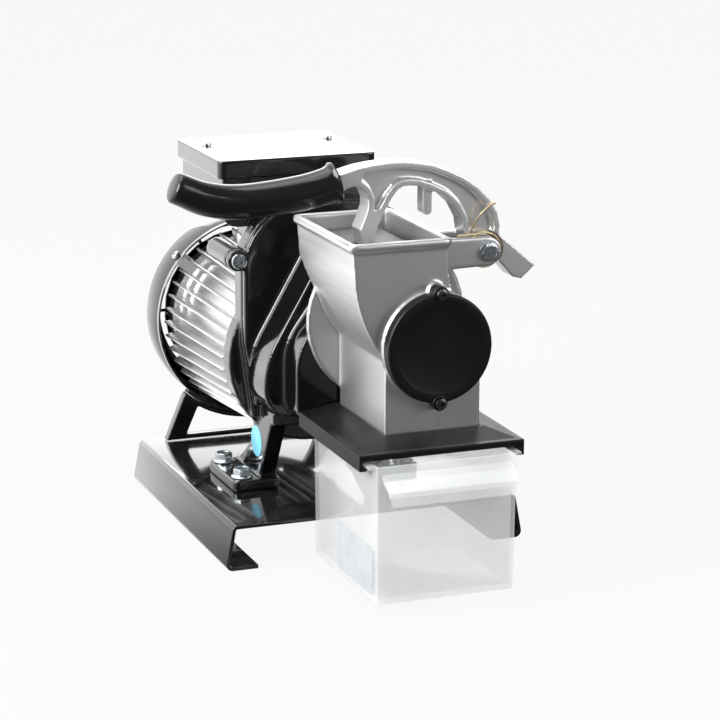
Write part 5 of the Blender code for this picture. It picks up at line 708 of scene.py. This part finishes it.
def material(name):
    """A finish as a node material on Object coordinates."""
    if name in bpy.data.materials:
        return bpy.data.materials[name]
    spec = FINISHES[name]
    made = bpy.data.materials.new(name)
    made.use_nodes = True
    tree = made.node_tree
    tree.nodes.clear()
    spot = tree.nodes.new("ShaderNodeTexCoord").outputs["Object"]
    shader = node(tree, "ShaderNodeBsdfPrincipled", {"Metallic": spec["metal"]})
    node(tree, "ShaderNodeOutputMaterial", {0: shader.outputs[0]})

    def grouped(group, **feeds):
        return node(tree, "ShaderNodeGroup", {"Vector": spot, **feeds}, node_tree=group).outputs

    def mixed(share, low, high):
        low, high = [(*value, 1.0) if isinstance(value, tuple) else value for value in (low, high)]
        return node(tree, "ShaderNodeMix", {0: share, 6: low, 7: high}, data_type="RGBA").outputs[2]

    def raised(value, extra, share):
        return maths(tree, "ADD", value, maths(tree, "MULTIPLY", extra, share))

    first = spec["colour"]
    if isinstance(first, str):
        first = tuple(getattr(bpy.context.scene.grater_colours, first))
    broad = grouped(grain_group(), Stretch=spec["stretch"], Scale=spec["scale"], Detail=6.0)
    height = grouped(grain_group(), Stretch=spec["stretch"], Scale=spec["grain"], Detail=3.0)["Value"]
    base = mixed(broad["Mask"], first, spec["second"])
    rough = ramp(tree, height, 0.3, 0.7, *spec["rough"])
    if "pits" in spec:
        pits = grouped(pits_group(), Scale=spec["pits"], Size=PIT_SIZE)[0]
        base = mixed(maths(tree, "MULTIPLY", pits, 0.62), base,
                     tuple(v * PIT_DARKNESS for v in spec["second"]))
        height = maths(tree, "SUBTRACT", height, maths(tree, "MULTIPLY", pits, 0.9))
    if "lines" in spec:
        way, pitch, depth = spec["lines"]
        lines = grouped(bands_group(), Direction=way, Pitch=pitch)[0]
        height = raised(height, lines, depth / spec["depth"])
        rough = raised(rough, lines, 0.10)
    if "wear" in spec:
        amount, worn = spec["wear"]
        base = mixed(grouped(wear_group(), Amount=amount)[0], base, worn)
    if "dust" in spec:
        dust = grouped(dust_group(), Amount=spec["dust"])[0]
        base = mixed(dust, base, DUST_COLOUR)
        rough = raised(rough, dust, 0.5)
    bump = result_of(tree, "ShaderNodeBump", {"Strength": 1.0, "Distance": spec["depth"], "Height": height})
    tree.links.new(base, shader.inputs["Base Color"])
    tree.links.new(rough, shader.inputs["Roughness"])
    tree.links.new(bump, shader.inputs["Normal"])
    shader.inputs["Coat Weight"].default_value = spec.get("coat", 0.0)
    shader.inputs["Coat Roughness"].default_value = COAT_ROUGHNESS
    shader.inputs["Specular IOR Level"].default_value = spec.get("specular", 0.5)
    if "clear" in spec:
        shader.inputs["Transmission Weight"].default_value = spec["clear"]
        shader.inputs["IOR"].default_value = PLASTIC_IOR
    return made


# Operators

class Piece(bpy.types.Operator):
    """Shared by the operators that make pieces."""

    bl_options = {"REGISTER"}

    def execute(self, context):
        self.make(context.scene.grater_sizes)
        return {"FINISHED"}


class GRATER_OT_kept_nodes(Piece):
    """Give the frame nodes that stay as they are their finishes"""

    bl_idname = "grater.kept_nodes"
    bl_label = "Inner parts"

    def make(self, sizes):
        for name, nodes in KEPT.items():
            for kept in nodes:
                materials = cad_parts[kept].data.materials
                materials.clear()
                materials.append(material(name))


class GRATER_OT_base_plate(Piece):
    """Folded base plate with splayed flanges and inward lips"""

    bl_idname = "grater.base_plate"
    bl_label = "Base plate"

    def make(self, sizes):
        thick, low, high = 0.003, 0.0015, 0.036
        half, foot, lip = 0.1215, 0.128, 0.102
        lip_bend, top_bend = 0.004, 0.003
        corners = [(-lip, low), (-foot, low), (-half, high), (half, high), (foot, low), (lip, low)]
        path = [corners[0]]
        for index, radius in enumerate((lip_bend, top_bend, top_bend, lip_bend), 1):
            path += fillet(corners[index - 1], corners[index], corners[index + 1], radius, 8)
        path.append(corners[-1])
        plate = soft_prism("base_sheet", sheet(path, thick), PLATE_FRONT, PLATE_BACK, 0.0005)
        dress(plate, "gloss_paint", "stand", ["base_plate"])


class GRATER_OT_gear_case(Piece):
    """Rear casting with its legs, and the stepped cover in front of it"""

    bl_idname = "grater.gear_case"
    bl_label = "Gear case"

    def make(self, sizes):
        softened("rear_casting", "gear_case", sizes.casting_cell, 6, "gloss_paint")
        softened("stepped_cover", "gear_case_cover", sizes.casting_cell, 6, "gloss_paint")


class GRATER_OT_case_fasteners(Piece):
    """Screws of the gear case and of the grater body's flange"""

    bl_idname = "grater.case_fasteners"
    bl_label = "Case screws"

    def make(self, sizes):
        def case_screw(length):
            return cap_screw(0.0065, 0.0035, hex_socket(0.0048), depth=0.0024, shank=0.0030, length=length)

        seat, left, right, high, low = 0.0797, -0.091, 0.071, 0.235, 0.132
        spots = [(Vector((x, seat, z)), FORWARD) for x, z in ((left, high), (right, high), (right, low))]
        fasteners("cover_cap_screws", spots, case_screw(0.0337), "zinc",
                  ["case_screw_1", "case_screw_2", "case_screw_3"], spin=0.7)
        seat, ring = 0.0131, 0.048
        turned = [polar(ring, degrees) for degrees in (190.0, 300.0)]
        spots = [(Vector((DRUM[0] + a, seat, DRUM[1] + b)), BACKWARD) for a, b in turned]
        fasteners("flange_cap_screws", spots, case_screw(0.0085), "zinc",
                  ["body_screw_left", "body_screw_right"], spin=0.5)


class GRATER_OT_foot_bolts(Piece):
    """Four flanged hexagon bolts through the feet"""

    bl_idname = "grater.foot_bolts"
    bl_label = "Foot bolts"

    def make(self, sizes):
        seat = 0.0478
        spots = [(Vector((x, y, seat)), UPWARD) for x in (-0.084, 0.060) for y in (0.097, 0.145)]
        source = hex_bolt(across=0.013, flange=0.009, total=0.0080, shank=0.008, length=0.0217)
        fasteners("foot_bolts", spots, source, "zinc",
                  ["foot_bolt_1", "foot_bolt_2", "foot_bolt_3", "foot_bolt_4"], spin=0.43)


class GRATER_OT_motor_housing(Piece):
    """Finned motor housing with its terminal pad"""

    bl_idname = "grater.motor_housing"
    bl_label = "Motor housing"

    def make(self, sizes):
        bore, tube, flange, front, back = 0.058, 0.0625, 0.0665, 0.1123, 0.2500
        shell = lathe("housing_shell", [(bore, front), (0.0655, front), (flange, 0.1133), (flange, 0.1185),
                                        (0.0657, 0.1195), (tube, 0.1205), (tube, 0.2430), (flange, 0.2440),
                                        (0.0675, 0.2490), (0.0668, back), (bore, back)], MOTOR)
        root, tip, foot = sizes.fin_root / 2, sizes.fin_tip / 2, 0.0615
        rings = []
        for along, reach in ((0.1124, 0.0728), (0.1130, 0.0735), (0.160, 0.0763), (0.205, 0.0789),
                             (0.2492, 0.0815), (0.2499, 0.0808)):
            section = [(foot, -root), (reach - 0.0009, -tip), (reach - 0.0002, -tip * 0.6), (reach, 0),
                       (reach - 0.0002, tip * 0.6), (reach - 0.0009, tip), (foot, root)]
            rings.append([Vector((MOTOR[0] + out, along, MOTOR[1] + side)) for out, side in section])
        fin = grow(ringed("cooling_fins", rings), axis_tree(), "fin_aluminium", Count=sizes.fin_count, Rows=1,
                   Centre=(MOTOR[0], 0.0, MOTOR[1]))
        half, low, high = 0.033, MOTOR[1] + 0.045, MOTOR[1] + 0.086
        pad = soft_prism("terminal_pad", rectangle(MOTOR[0] - half, MOTOR[0] + half, 0.122, 0.196, 0.004),
                         low, high, 0.0015, "Z")
        dress(merge("finned_housing", shell, fin, pad), "fin_aluminium", "stand", ["motor_housing"])


class GRATER_OT_fan_cowl(Piece):
    """Fan cowl with a grille of rings and spokes, and its screws"""

    bl_idname = "grater.fan_cowl"
    bl_label = "Fan cowl"

    def make(self, sizes):
        radius, opening, shoulder, wall, lip = 0.0875, 0.0725, 0.012, 0.0016, 0.0004
        front, back = 0.246, 0.293

        def round_shoulder(reach, start, end):
            return [(radius - shoulder + a, b) for a, b in arc((0, back - shoulder), reach, start, end, 10)]

        profile = [(radius - wall, front + 0.0003), (radius - wall + lip, front), (radius - lip, front),
                   (radius, front + lip), (radius, front + 0.004), (radius - lip, front + 0.0048),
                   (radius - lip, front + 0.0062), (radius, front + 0.007)]
        profile += round_shoulder(shoulder, 0, 90) + [(opening, back), (opening, back - wall)]
        profile += round_shoulder(shoulder - wall, 90, 0)
        parts = [lathe("cowl_shell", profile, MOTOR, FINE_SIDES)]
        hub = 0.0140
        parts.append(lathe("cowl_hub", [(0, back), (hub - 0.001, back), (hub, back - 0.0005),
                                        (hub, back - wall), (0, back - wall)], MOTOR, looped=False))
        bar = wall / 2
        for reach, thick in ((0.04325, 0.0015), (0.0235, bar), (0.0325, bar), (0.0537, bar), (0.0630, bar)):
            ring = [(reach + thick * math.cos(math.radians(t)), back - bar + bar * math.sin(math.radians(t)))
                    for t in range(0, 360, 45)]
            parts.append(lathe("grille_ring", ring, MOTOR))
        half = 0.0015
        outline = rectangle(MOTOR[0] + 0.013, MOTOR[0] + 0.0735, MOTOR[1] - half, MOTOR[1] + half)
        spoke = soft_prism("grille_spoke", outline, back - wall + 0.0001, back - 0.0001, lip)
        parts.append(grow(spoke, axis_tree(), "gloss_paint", Count=sizes.grille_spokes, Rows=1,
                          Centre=(MOTOR[0], 0.0, MOTOR[1])))
        dress(merge("fan_guard", *parts), "gloss_paint", "stand", ["fan_cowl"])
        middle = Vector((MOTOR[0], 0.2563, MOTOR[1]))
        places = []
        for degrees in (140.0, 40.0, 320.0):
            a, b = polar(1.0, degrees)
            out = Vector((a, 0, b))
            places.append((middle + out * (radius + 0.0003), out))
        source = cap_screw(0.0040, 0.0026, cross_socket(0.0040), depth=0.0015, shank=0.0020, length=0.009)
        fasteners("cowl_screws", places, source, "zinc", ["cowl_screw_1", "cowl_screw_2", "cowl_screw_3"],
                  spin=0.6)


class GRATER_OT_rear_support(Piece):
    """Support and rubber pad under the cowl"""

    bl_idname = "grater.rear_support"
    bl_label = "Rear support"

    def make(self, sizes):
        softened("cowl_support", "rear_support", BOX_CELL, 4, "gloss_paint")
        softened("cowl_rubber", "support_pad", PAD_CELL, 2, "rubber")


class GRATER_OT_grater_body(Piece):
    """Hopper, drum housing and chute in one casting"""

    bl_idname = "grater.grater_body"
    bl_label = "Grater body"

    def make(self, sizes):
        softened("hopper_casting", "grater_body", sizes.casting_cell * HOPPER_CELL_SHARE, 4, "cast_aluminium")
        left, right, front, back, low, high = 0.0092, 0.0100, -0.0950, -0.0930, 0.1330, 0.1520
        seam = soft_prism("parting_line", rectangle(left, right, front, back), low, high, 0.0002, "Z")
        dress(seam, "cast_aluminium", "stand")


class GRATER_OT_drum(Piece):
    """Stainless grating drum with rings of pierced burrs"""

    bl_idname = "grater.drum"
    bl_label = "Grating drum"

    def make(self, sizes):
        front, back, disc = -0.0885, -0.0015, 0.004
        radius, shell, hub, pin = 0.037, 0.035, 0.013, 0.0060
        tip, bore, pocket = front - 0.012, 0.0062, front + 0.060
        drum = lathe("drum_shell", [(0, tip), (pin - 0.0005, tip), (pin, tip + 0.0005), (pin, front),
                                    (radius - 0.0015, front), (radius, front + 0.0012),
                                    (radius, back - 0.0008), (radius - 0.0008, back), (shell, back),
                                    (shell, front + disc), (hub, front + disc), (hub, back), (bore, back),
                                    (bore, pocket), (0, pocket)], DRUM, looped=False)
        margin, pierced = 0.0065, -0.0003
        rings = []
        for reach, up in ((0.0021, 0.0), (0.0013, 0.55), (0.0010, 1.0), (0.0006, 1.0), (0.0006, 0.0)):
            lift = up * sizes.burr_height if up else pierced
            rings.append([Vector((DRUM[0] + reach * math.cos(t * math.pi / 4),
                                  front + margin + reach * 1.15 * math.sin(t * math.pi / 4),
                                  DRUM[1] + radius + lift)) for t in range(8)])
        pitch = (back - front - 2 * margin) / (sizes.burr_rows - 1)
        burrs = grow(ringed("drum_burrs", rings), axis_tree(), "stainless", Count=sizes.burr_columns,
                     Rows=sizes.burr_rows, Centre=(DRUM[0], 0.0, DRUM[1]), Row_pitch=pitch,
                     Row_turn=math.pi / sizes.burr_columns)
        dress(merge("burred_drum", drum, burrs), "stainless", "drum_unit", ["grating_drum"])


class GRATER_OT_drum_cover(Piece):
    """Round cover over the drum with its two screws"""

    bl_idname = "grater.drum_cover"
    bl_label = "Drum cover"

    def make(self, sizes):
        front, back, radius, edge, bore, wall = -0.1082, -0.0983, 0.0428, 0.0020, 0.038, 0.003
        rim = arc((radius - edge, front + edge), edge, 270, 360, 6)
        profile = [(0, front + 0.0006), (radius - 0.0095, front + 0.0006), (radius - 0.0080, front + 0.0002),
                   (radius - 0.0065, front)] + rim
        boss, bush = 0.012, 0.0093
        profile += [(radius, back - 0.0004), (radius - 0.0004, back), (bore, back), (bore, front + wall),
                    (boss, front + wall), (boss, front + 0.012), (bush, front + 0.012), (bush, front + wall),
                    (0, front + wall)]
        parts = [lathe("cover_disc", profile, DRUM, FINE_SIDES, looped=False)]
        places = []
        start, ear, round_edge, ear_reach = front - 0.0006, 0.0062, 0.0012, 0.0426
        for up in (ear_reach, -ear_reach):
            spot = (DRUM[0], DRUM[1] + up)
            turn = arc((ear - round_edge, start + round_edge), round_edge, 270, 360, 4)
            parts.append(lathe("cover_ear", [(0, start + 0.0002), (0.0046, start)] + turn
                               + [(ear, back - 0.0002), (0, back - 0.0002)], spot, 40, looped=False))
            places.append((Vector((spot[0], start - 0.0003, spot[1])), FORWARD))
        dress(merge("drum_lid", *parts), "cover_black", "stand", ["drum_cover"])
        source = cap_screw(0.0045, 0.0030, hex_socket(0.0031), depth=0.0020, shank=0.0025, length=0.018)
        fasteners("cover_screws", places, source, "dark_screw", ["cover_screw_1", "cover_screw_2"], spin=0.5)


class GRATER_OT_collar(Piece):
    """Discharge collar whose rails carry the drawer"""

    bl_idname = "grater.collar"
    bl_label = "Discharge collar"

    def make(self, sizes):
        softened("chute_collar", "discharge_collar", COLLAR_CELL, 2, "satin_plastic")


class GRATER_OT_drawer(Piece):
    """Clear drawer with its handle lip and bare label"""

    bl_idname = "grater.drawer"
    bl_label = "Drawer"

    def make(self, sizes):
        dress(bevelled("clear_drawer", "drawer", 0.0005, 2), "clear_plastic", "drawer_box", ["drawer"])
        left, floor, rim, draft = -0.0555, 0.009, 0.118, 0.001
        ring = rectangle(-0.126, -0.053, 0.014, 0.051, 0.0015, 3)
        rings = [[Vector((left + draft * (rim - b) / (rim - floor) - out, a, b)) for a, b in ring]
                 for out in (0.0001, 0.0003)]
        dress(ringed("bare_label", rings), "label", "drawer_box")


class GRATER_OT_lever(Piece):
    """Arched lever casting with its pusher"""

    bl_idname = "grater.lever"
    bl_label = "Lever"

    def make(self, sizes):
        softened("arched_lever", "lever", LEVER_CELL, 4, "polished_aluminium", "lever_arm")
        # The pusher's finish is cast aluminium darkened as painted shade
        softened("pusher_plate", "pusher", PUSHER_CELL, 3, "pusher_grey", "lever_arm")


class GRATER_OT_grip(Piece):
    """Dipped grip that follows the lever's bar"""

    bl_idname = "grater.grip"
    bl_label = "Grip"

    def make(self, sizes):
        # The bar's line as shares of the lever's length, left and up from the pivot
        reach, plain_radius, rows, sides = 0.2585, 0.0138, 80, 40
        shares = ((-0.470, 0.2305), (-0.560, 0.208), (-0.700, 0.193), (-0.800, 0.193), (-0.880, 0.209),
                  (-0.945, 0.237))
        line = [Vector((PIVOT[0] + a * reach, PIVOT[1] + b * reach)) for a, b in shares]
        line[0] += (line[0] - line[1]).normalized() * 0.0003
        line.append(line[-1] + (line[-1] - line[-2]).normalized() * 0.00856)
        # How thick the grip is along its length, with a rolled cuff at one end and a round tip at the other
        swells = ((0.0, 1.14), (0.006, 1.19), (0.016, 1.17), (0.03, 1.06), (0.06, 1.00), (0.20, 1.00),
                  (0.40, 0.98), (0.60, 0.96), (0.78, 0.90), (0.88, 0.885), (0.93, 0.86), (0.965, 0.77),
                  (0.985, 0.60), (0.996, 0.35), (1.0, 0.08))
        rings, crowded = [], 70
        for row in range(rows + 1):
            # The last rows crowd towards the tip
            share = (row / rows) if row < crowded else 1 - (1 - row / rows) ** 1.35 * 0.125 ** -0.35
            share = min(max(share, 0.0), 1.0)
            last = next(i for i in range(1, len(swells)) if swells[i][0] >= share)
            low, high = swells[last - 1], swells[last]
            radius = plain_radius * (low[1] + (high[1] - low[1]) * ((share - low[0]) / (high[0] - low[0])))
            spot = share * (len(line) - 1)
            index = min(int(spot), len(line) - 2)
            middle, ahead = spline(line, index, spot - index)
            across = Vector((-ahead.y, ahead.x))
            rings.append([Vector((middle.x + across.x * radius * math.cos(t), LEVER_Y + radius * math.sin(t),
                                  middle.y + across.y * radius * math.cos(t)))
                          for t in (2 * math.pi * step / sides for step in range(sides))])
        dress(ringed("dipped_grip", rings), "grip", "lever_arm", ["lever_grip"], 60)


class GRATER_OT_pivot(Piece):
    """Pivot bolt and nut"""

    bl_idname = "grater.pivot"
    bl_label = "Pivot"

    def make(self, sizes):
        front, back, across, flange = -0.0501, -0.0137, 0.013, 0.0074
        fasteners("pivot_hex_bolt", [(Vector((PIVOT[0], front, PIVOT[1])), FORWARD)],
                  hex_bolt(across, flange, 0.0055, shank=0.008, length=0.0448), "zinc", ["pivot_bolt"])
        fasteners("pivot_lock_nut", [(Vector((PIVOT[0], back, PIVOT[1])), BACKWARD)],
                  hex_bolt(across, flange, 0.0066), "zinc", ["pivot_nut"])


class GRATER_OT_spring(Piece):
    """Torsion spring about the pivot, one leg on the ear and one over the lever"""

    bl_idname = "grater.spring"
    bl_label = "Torsion spring"

    def make(self, sizes):
        reach, pitch, turns, steps, hub_stand = 0.0136, 0.0020, 2.75, 40, 0.0012
        front = LEVER_Y - LEVER_HALF_WIDTH - hub_stand + sizes.wire / 2
        # Legs as shares of the coil's radius: right, up and forward of the pivot
        lower = ((-1.88, 1.005, 0.31), (-1.40, 1.005, 0.25), (-0.85, 1.005, 0.17), (-0.30, 1.000, 0.04))
        upper = ((-0.80, 0.93, -0.34), (-0.50, 1.72, -0.20), (-0.22, 2.22, 0.074), (0.34, 2.66, 0.074),
                 (0.555, 2.70, 0.060), (0.575, 2.70, -0.42))

        def placed(leg):
            return [Vector((PIVOT[0] + a * reach, front - f * reach, PIVOT[1] + b * reach))
                    for a, b, f in leg]

        first, last = placed(lower), placed(upper)
        coil = []
        for step in range(int(turns * steps) + 1):
            turn = step / steps
            angle = math.pi / 2 - 2 * math.pi * turn
            coil.append(Vector((PIVOT[0] + reach * math.cos(angle), front + turn * pitch,
                                PIVOT[1] + reach * math.sin(angle))))
        bent = [spline(last, index, step / 6)[0] for index in range(len(last) - 1) for step in range(6)]
        form = bmesh.new()
        points = [form.verts.new(point) for point in first + coil + bent + [last[-1]]]
        for low, high in zip(points, points[1:]):
            form.edges.new((low, high))
        spring = grow(from_bmesh("wound_spring", form), wire_tree(), "yellow_zinc", Radius=sizes.wire / 2,
                      Sides=14)
        dress(spring, "yellow_zinc", None, ["torsion_spring"], 50)
        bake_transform(spring)


class GRATER_OT_switch_box(Piece):
    """Switch box with its lid, pedestal, rocker switch and cable gland"""

    bl_idname = "grater.switch_box"
    bl_label = "Switch box"

    def make(self, sizes):
        for name, source in (("control_box", "switch_box"), ("box_lid", "switch_box_lid"),
                             ("box_foot", "box_pedestal")):
            softened(name, source, BOX_CELL, 3, "gloss_paint")
        for name, source in (("switch_bezel", "rocker_frame"), ("gland_body", "cable_gland")):
            softened(name, source, BEZEL_CELL, 3, "satin_plastic")
        softened("rocker", "rocker_button", ROCKER_CELL, 3, "satin_plastic", "rocker")
        along, seat = 0.17104, 0.3148
        source = cap_screw(0.0040, 0.0022, cross_socket(0.0040), depth=0.0013, shank=0.0020, length=0.0155)
        fasteners("lid_screws", [(Vector((x, along, seat)), UPWARD) for x in (-0.088, 0.019)], source, "zinc",
                  ["lid_screw_1", "lid_screw_2"], spin=0.6)


class GRATER_OT_sticker(Piece):
    """Plain round sticker on the left leg"""

    bl_idname = "grater.sticker"
    bl_label = "Sticker"

    def make(self, sizes):
        leg, centre = -0.0701, (0.1000, 0.0765)
        rings = [[Vector((leg - out, a, b)) for a, b in circle(centre, sizes.sticker_radius * share, 64)]
                 for out, share in ((-0.0002, 1.0), (0.0001, 1.0), (0.00022, 0.985))]
        dress(ringed("round_sticker", rings), "sticker", "stand")


def reflected_only(tree, path):
    """One for a mirrored ray, and zero for a ray through clear plastic."""
    clear = maths(tree, "SUBTRACT", 1.0, path["Is Transmission Ray"])
    return maths(tree, "MULTIPLY", path["Is Glossy Ray"], clear)


def toward_bright_side(tree, spot):
    """How far a place or direction lies towards the bright side."""
    return node(tree, "ShaderNodeVectorMath", {0: spot, 1: BRIGHT_SIDE},
                operation="DOT_PRODUCT").outputs["Value"]


def paper_material():
    """Pale paper that looks white to the camera, and brighter on one side in mirrors."""
    paper = bpy.data.materials.new("paper_floor")
    paper.use_nodes = True
    tree = paper.node_tree
    tree.nodes.clear()
    path = tree.nodes.new("ShaderNodeLightPath").outputs
    dull = result_of(tree, "ShaderNodeBsdfDiffuse", {"Color": (*grey(PAPER), 1.0)})
    glow = result_of(tree, "ShaderNodeEmission", {"Color": (1, 1, 1, 1), "Strength": 1.0})
    seen = maths(tree, "MAXIMUM", maths(tree, "MULTIPLY", path["Is Camera Ray"], FLOOR_SEEN),
                 maths(tree, "MULTIPLY", path["Is Transmission Ray"], FLOOR_THROUGH_PLASTIC))
    bare = result_of(tree, "ShaderNodeMixShader", {0: seen, 1: dull, 2: glow})
    where = toward_bright_side(tree, tree.nodes.new("ShaderNodeTexCoord").outputs["Object"])
    strength = maths(tree, "ADD", ramp(tree, where, -0.10, 0.22, 0.10, 1.05),
                     ramp(tree, where, 0.35, 1.10, 0.0, 0.60))
    mirrored = result_of(tree, "ShaderNodeEmission", {"Color": (1, 1, 1, 1), "Strength": strength})
    both = result_of(tree, "ShaderNodeMixShader", {0: reflected_only(tree, path), 1: bare, 2: mirrored})
    node(tree, "ShaderNodeOutputMaterial", {0: both})
    return paper


def studio_world():
    """White to the camera, plain as light, and brighter on one side in mirrors."""
    world = bpy.data.worlds.new("studio")
    world.use_nodes = True
    tree = world.node_tree
    tree.nodes.clear()
    path = tree.nodes.new("ShaderNodeLightPath").outputs
    where = toward_bright_side(tree, tree.nodes.new("ShaderNodeTexCoord").outputs["Generated"])
    lit = maths(tree, "MAXIMUM", path["Is Camera Ray"], path["Is Transmission Ray"])
    mirrored = maths(tree, "MULTIPLY", ramp(tree, where, -0.25, 0.50, 0.12, 1.65), reflected_only(tree, path))
    plain_level = maths(tree, "MULTIPLY", maths(tree, "SUBTRACT", 1.0, path["Is Glossy Ray"]), SKY_LEVEL)
    strength = maths(tree, "MAXIMUM", maths(tree, "MAXIMUM", lit, mirrored), plain_level)
    sky = result_of(tree, "ShaderNodeBackground", {"Color": (1, 1, 1, 1), "Strength": strength})
    node(tree, "ShaderNodeOutputWorld", {0: sky})
    return world


def add_lamp(scene, name, spot, size, power):
    lamp = bpy.data.lights.new(name, "AREA")
    lamp.shape = "RECTANGLE"
    lamp.size, lamp.size_y = size
    lamp.energy = power
    held = bpy.data.objects.new(name, lamp)
    held.location = spot
    held.rotation_euler = (LAMP_AIM - Vector(spot)).to_track_quat("-Z", "Y").to_euler()
    scene.collection.objects.link(held)


def add_camera(scene):
    """The camera as fitted to the photograph."""
    camera = bpy.data.cameras.new("photo_view")
    camera.lens = LENS
    camera.sensor_width = SENSOR
    held = bpy.data.objects.new("photo_view", camera)
    azimuth, elevation, roll = (math.radians(turn) for turn in CAMERA_TURNS)
    away = Vector((math.sin(azimuth) * math.cos(elevation), -math.cos(azimuth) * math.cos(elevation),
                   math.sin(elevation)))
    right = (-away).cross(UPWARD).normalized()
    up = right.cross(-away)
    across = right * math.cos(roll) + up * math.sin(roll)
    upward = -right * math.sin(roll) + up * math.cos(roll)
    turned = Matrix((across, upward, away)).transposed().to_4x4()
    held.matrix_world = Matrix.Translation(CAMERA_TARGET + away * CAMERA_DISTANCE + SHIFT) @ turned
    scene.collection.objects.link(held)
    scene.camera = held


class GRATER_OT_stage(bpy.types.Operator):
    """Pale floor, soft lamps, world and camera"""

    bl_idname = "grater.stage"
    bl_label = "Studio"

    def execute(self, context):
        scene = context.scene
        outline = rectangle(-FLOOR_HALF, FLOOR_HALF, -FLOOR_HALF, FLOOR_HALF, 0.5)
        floor = soft_prism("floor", outline, -0.05, -0.00005, 0.001, "Z")
        floor.data.materials.append(paper_material())
        scene.world = studio_world()
        for lamp in LAMPS:
            add_lamp(scene, *lamp)
        add_camera(scene)
        scene.view_settings.view_transform = "Standard"
        return {"FINISHED"}


OPERATORS = (GRATER_OT_kept_nodes, GRATER_OT_base_plate, GRATER_OT_gear_case, GRATER_OT_case_fasteners,
             GRATER_OT_foot_bolts, GRATER_OT_motor_housing, GRATER_OT_fan_cowl, GRATER_OT_rear_support,
             GRATER_OT_grater_body, GRATER_OT_drum, GRATER_OT_drum_cover, GRATER_OT_collar, GRATER_OT_drawer,
             GRATER_OT_lever, GRATER_OT_grip, GRATER_OT_pivot, GRATER_OT_spring, GRATER_OT_switch_box,
             GRATER_OT_sticker, GRATER_OT_stage)


class GRATER_PT_pieces(bpy.types.Panel):
    """Lists the grater's pieces."""

    bl_idname = "GRATER_PT_pieces"
    bl_label = "Grater"
    bl_space_type = "VIEW_3D"
    bl_region_type = "UI"
    bl_category = "Grater"

    def draw(self, context):
        for group in (context.scene.grater_sizes, context.scene.grater_colours):
            for name in group.bl_rna.properties.keys():
                if name not in ("rna_type", "name"):
                    self.layout.prop(group, name)
        for operator in OPERATORS:
            self.layout.operator(operator.bl_idname)


CLASSES = (GraterSizes, GraterColours) + OPERATORS + (GRATER_PT_pieces,)


def register():
    for item in CLASSES:
        bpy.utils.register_class(item)
    bpy.types.Scene.grater_sizes = bpy.props.PointerProperty(type=GraterSizes)
    bpy.types.Scene.grater_colours = bpy.props.PointerProperty(type=GraterColours)


def unregister():
    del bpy.types.Scene.grater_colours
    del bpy.types.Scene.grater_sizes
    for item in reversed(CLASSES):
        bpy.utils.unregister_class(item)


def main():
    register()
    for operator in OPERATORS:
        group, name = operator.bl_idname.split(".")
        getattr(getattr(bpy.ops, group), name)()


if __name__ == "__main__":
    main()
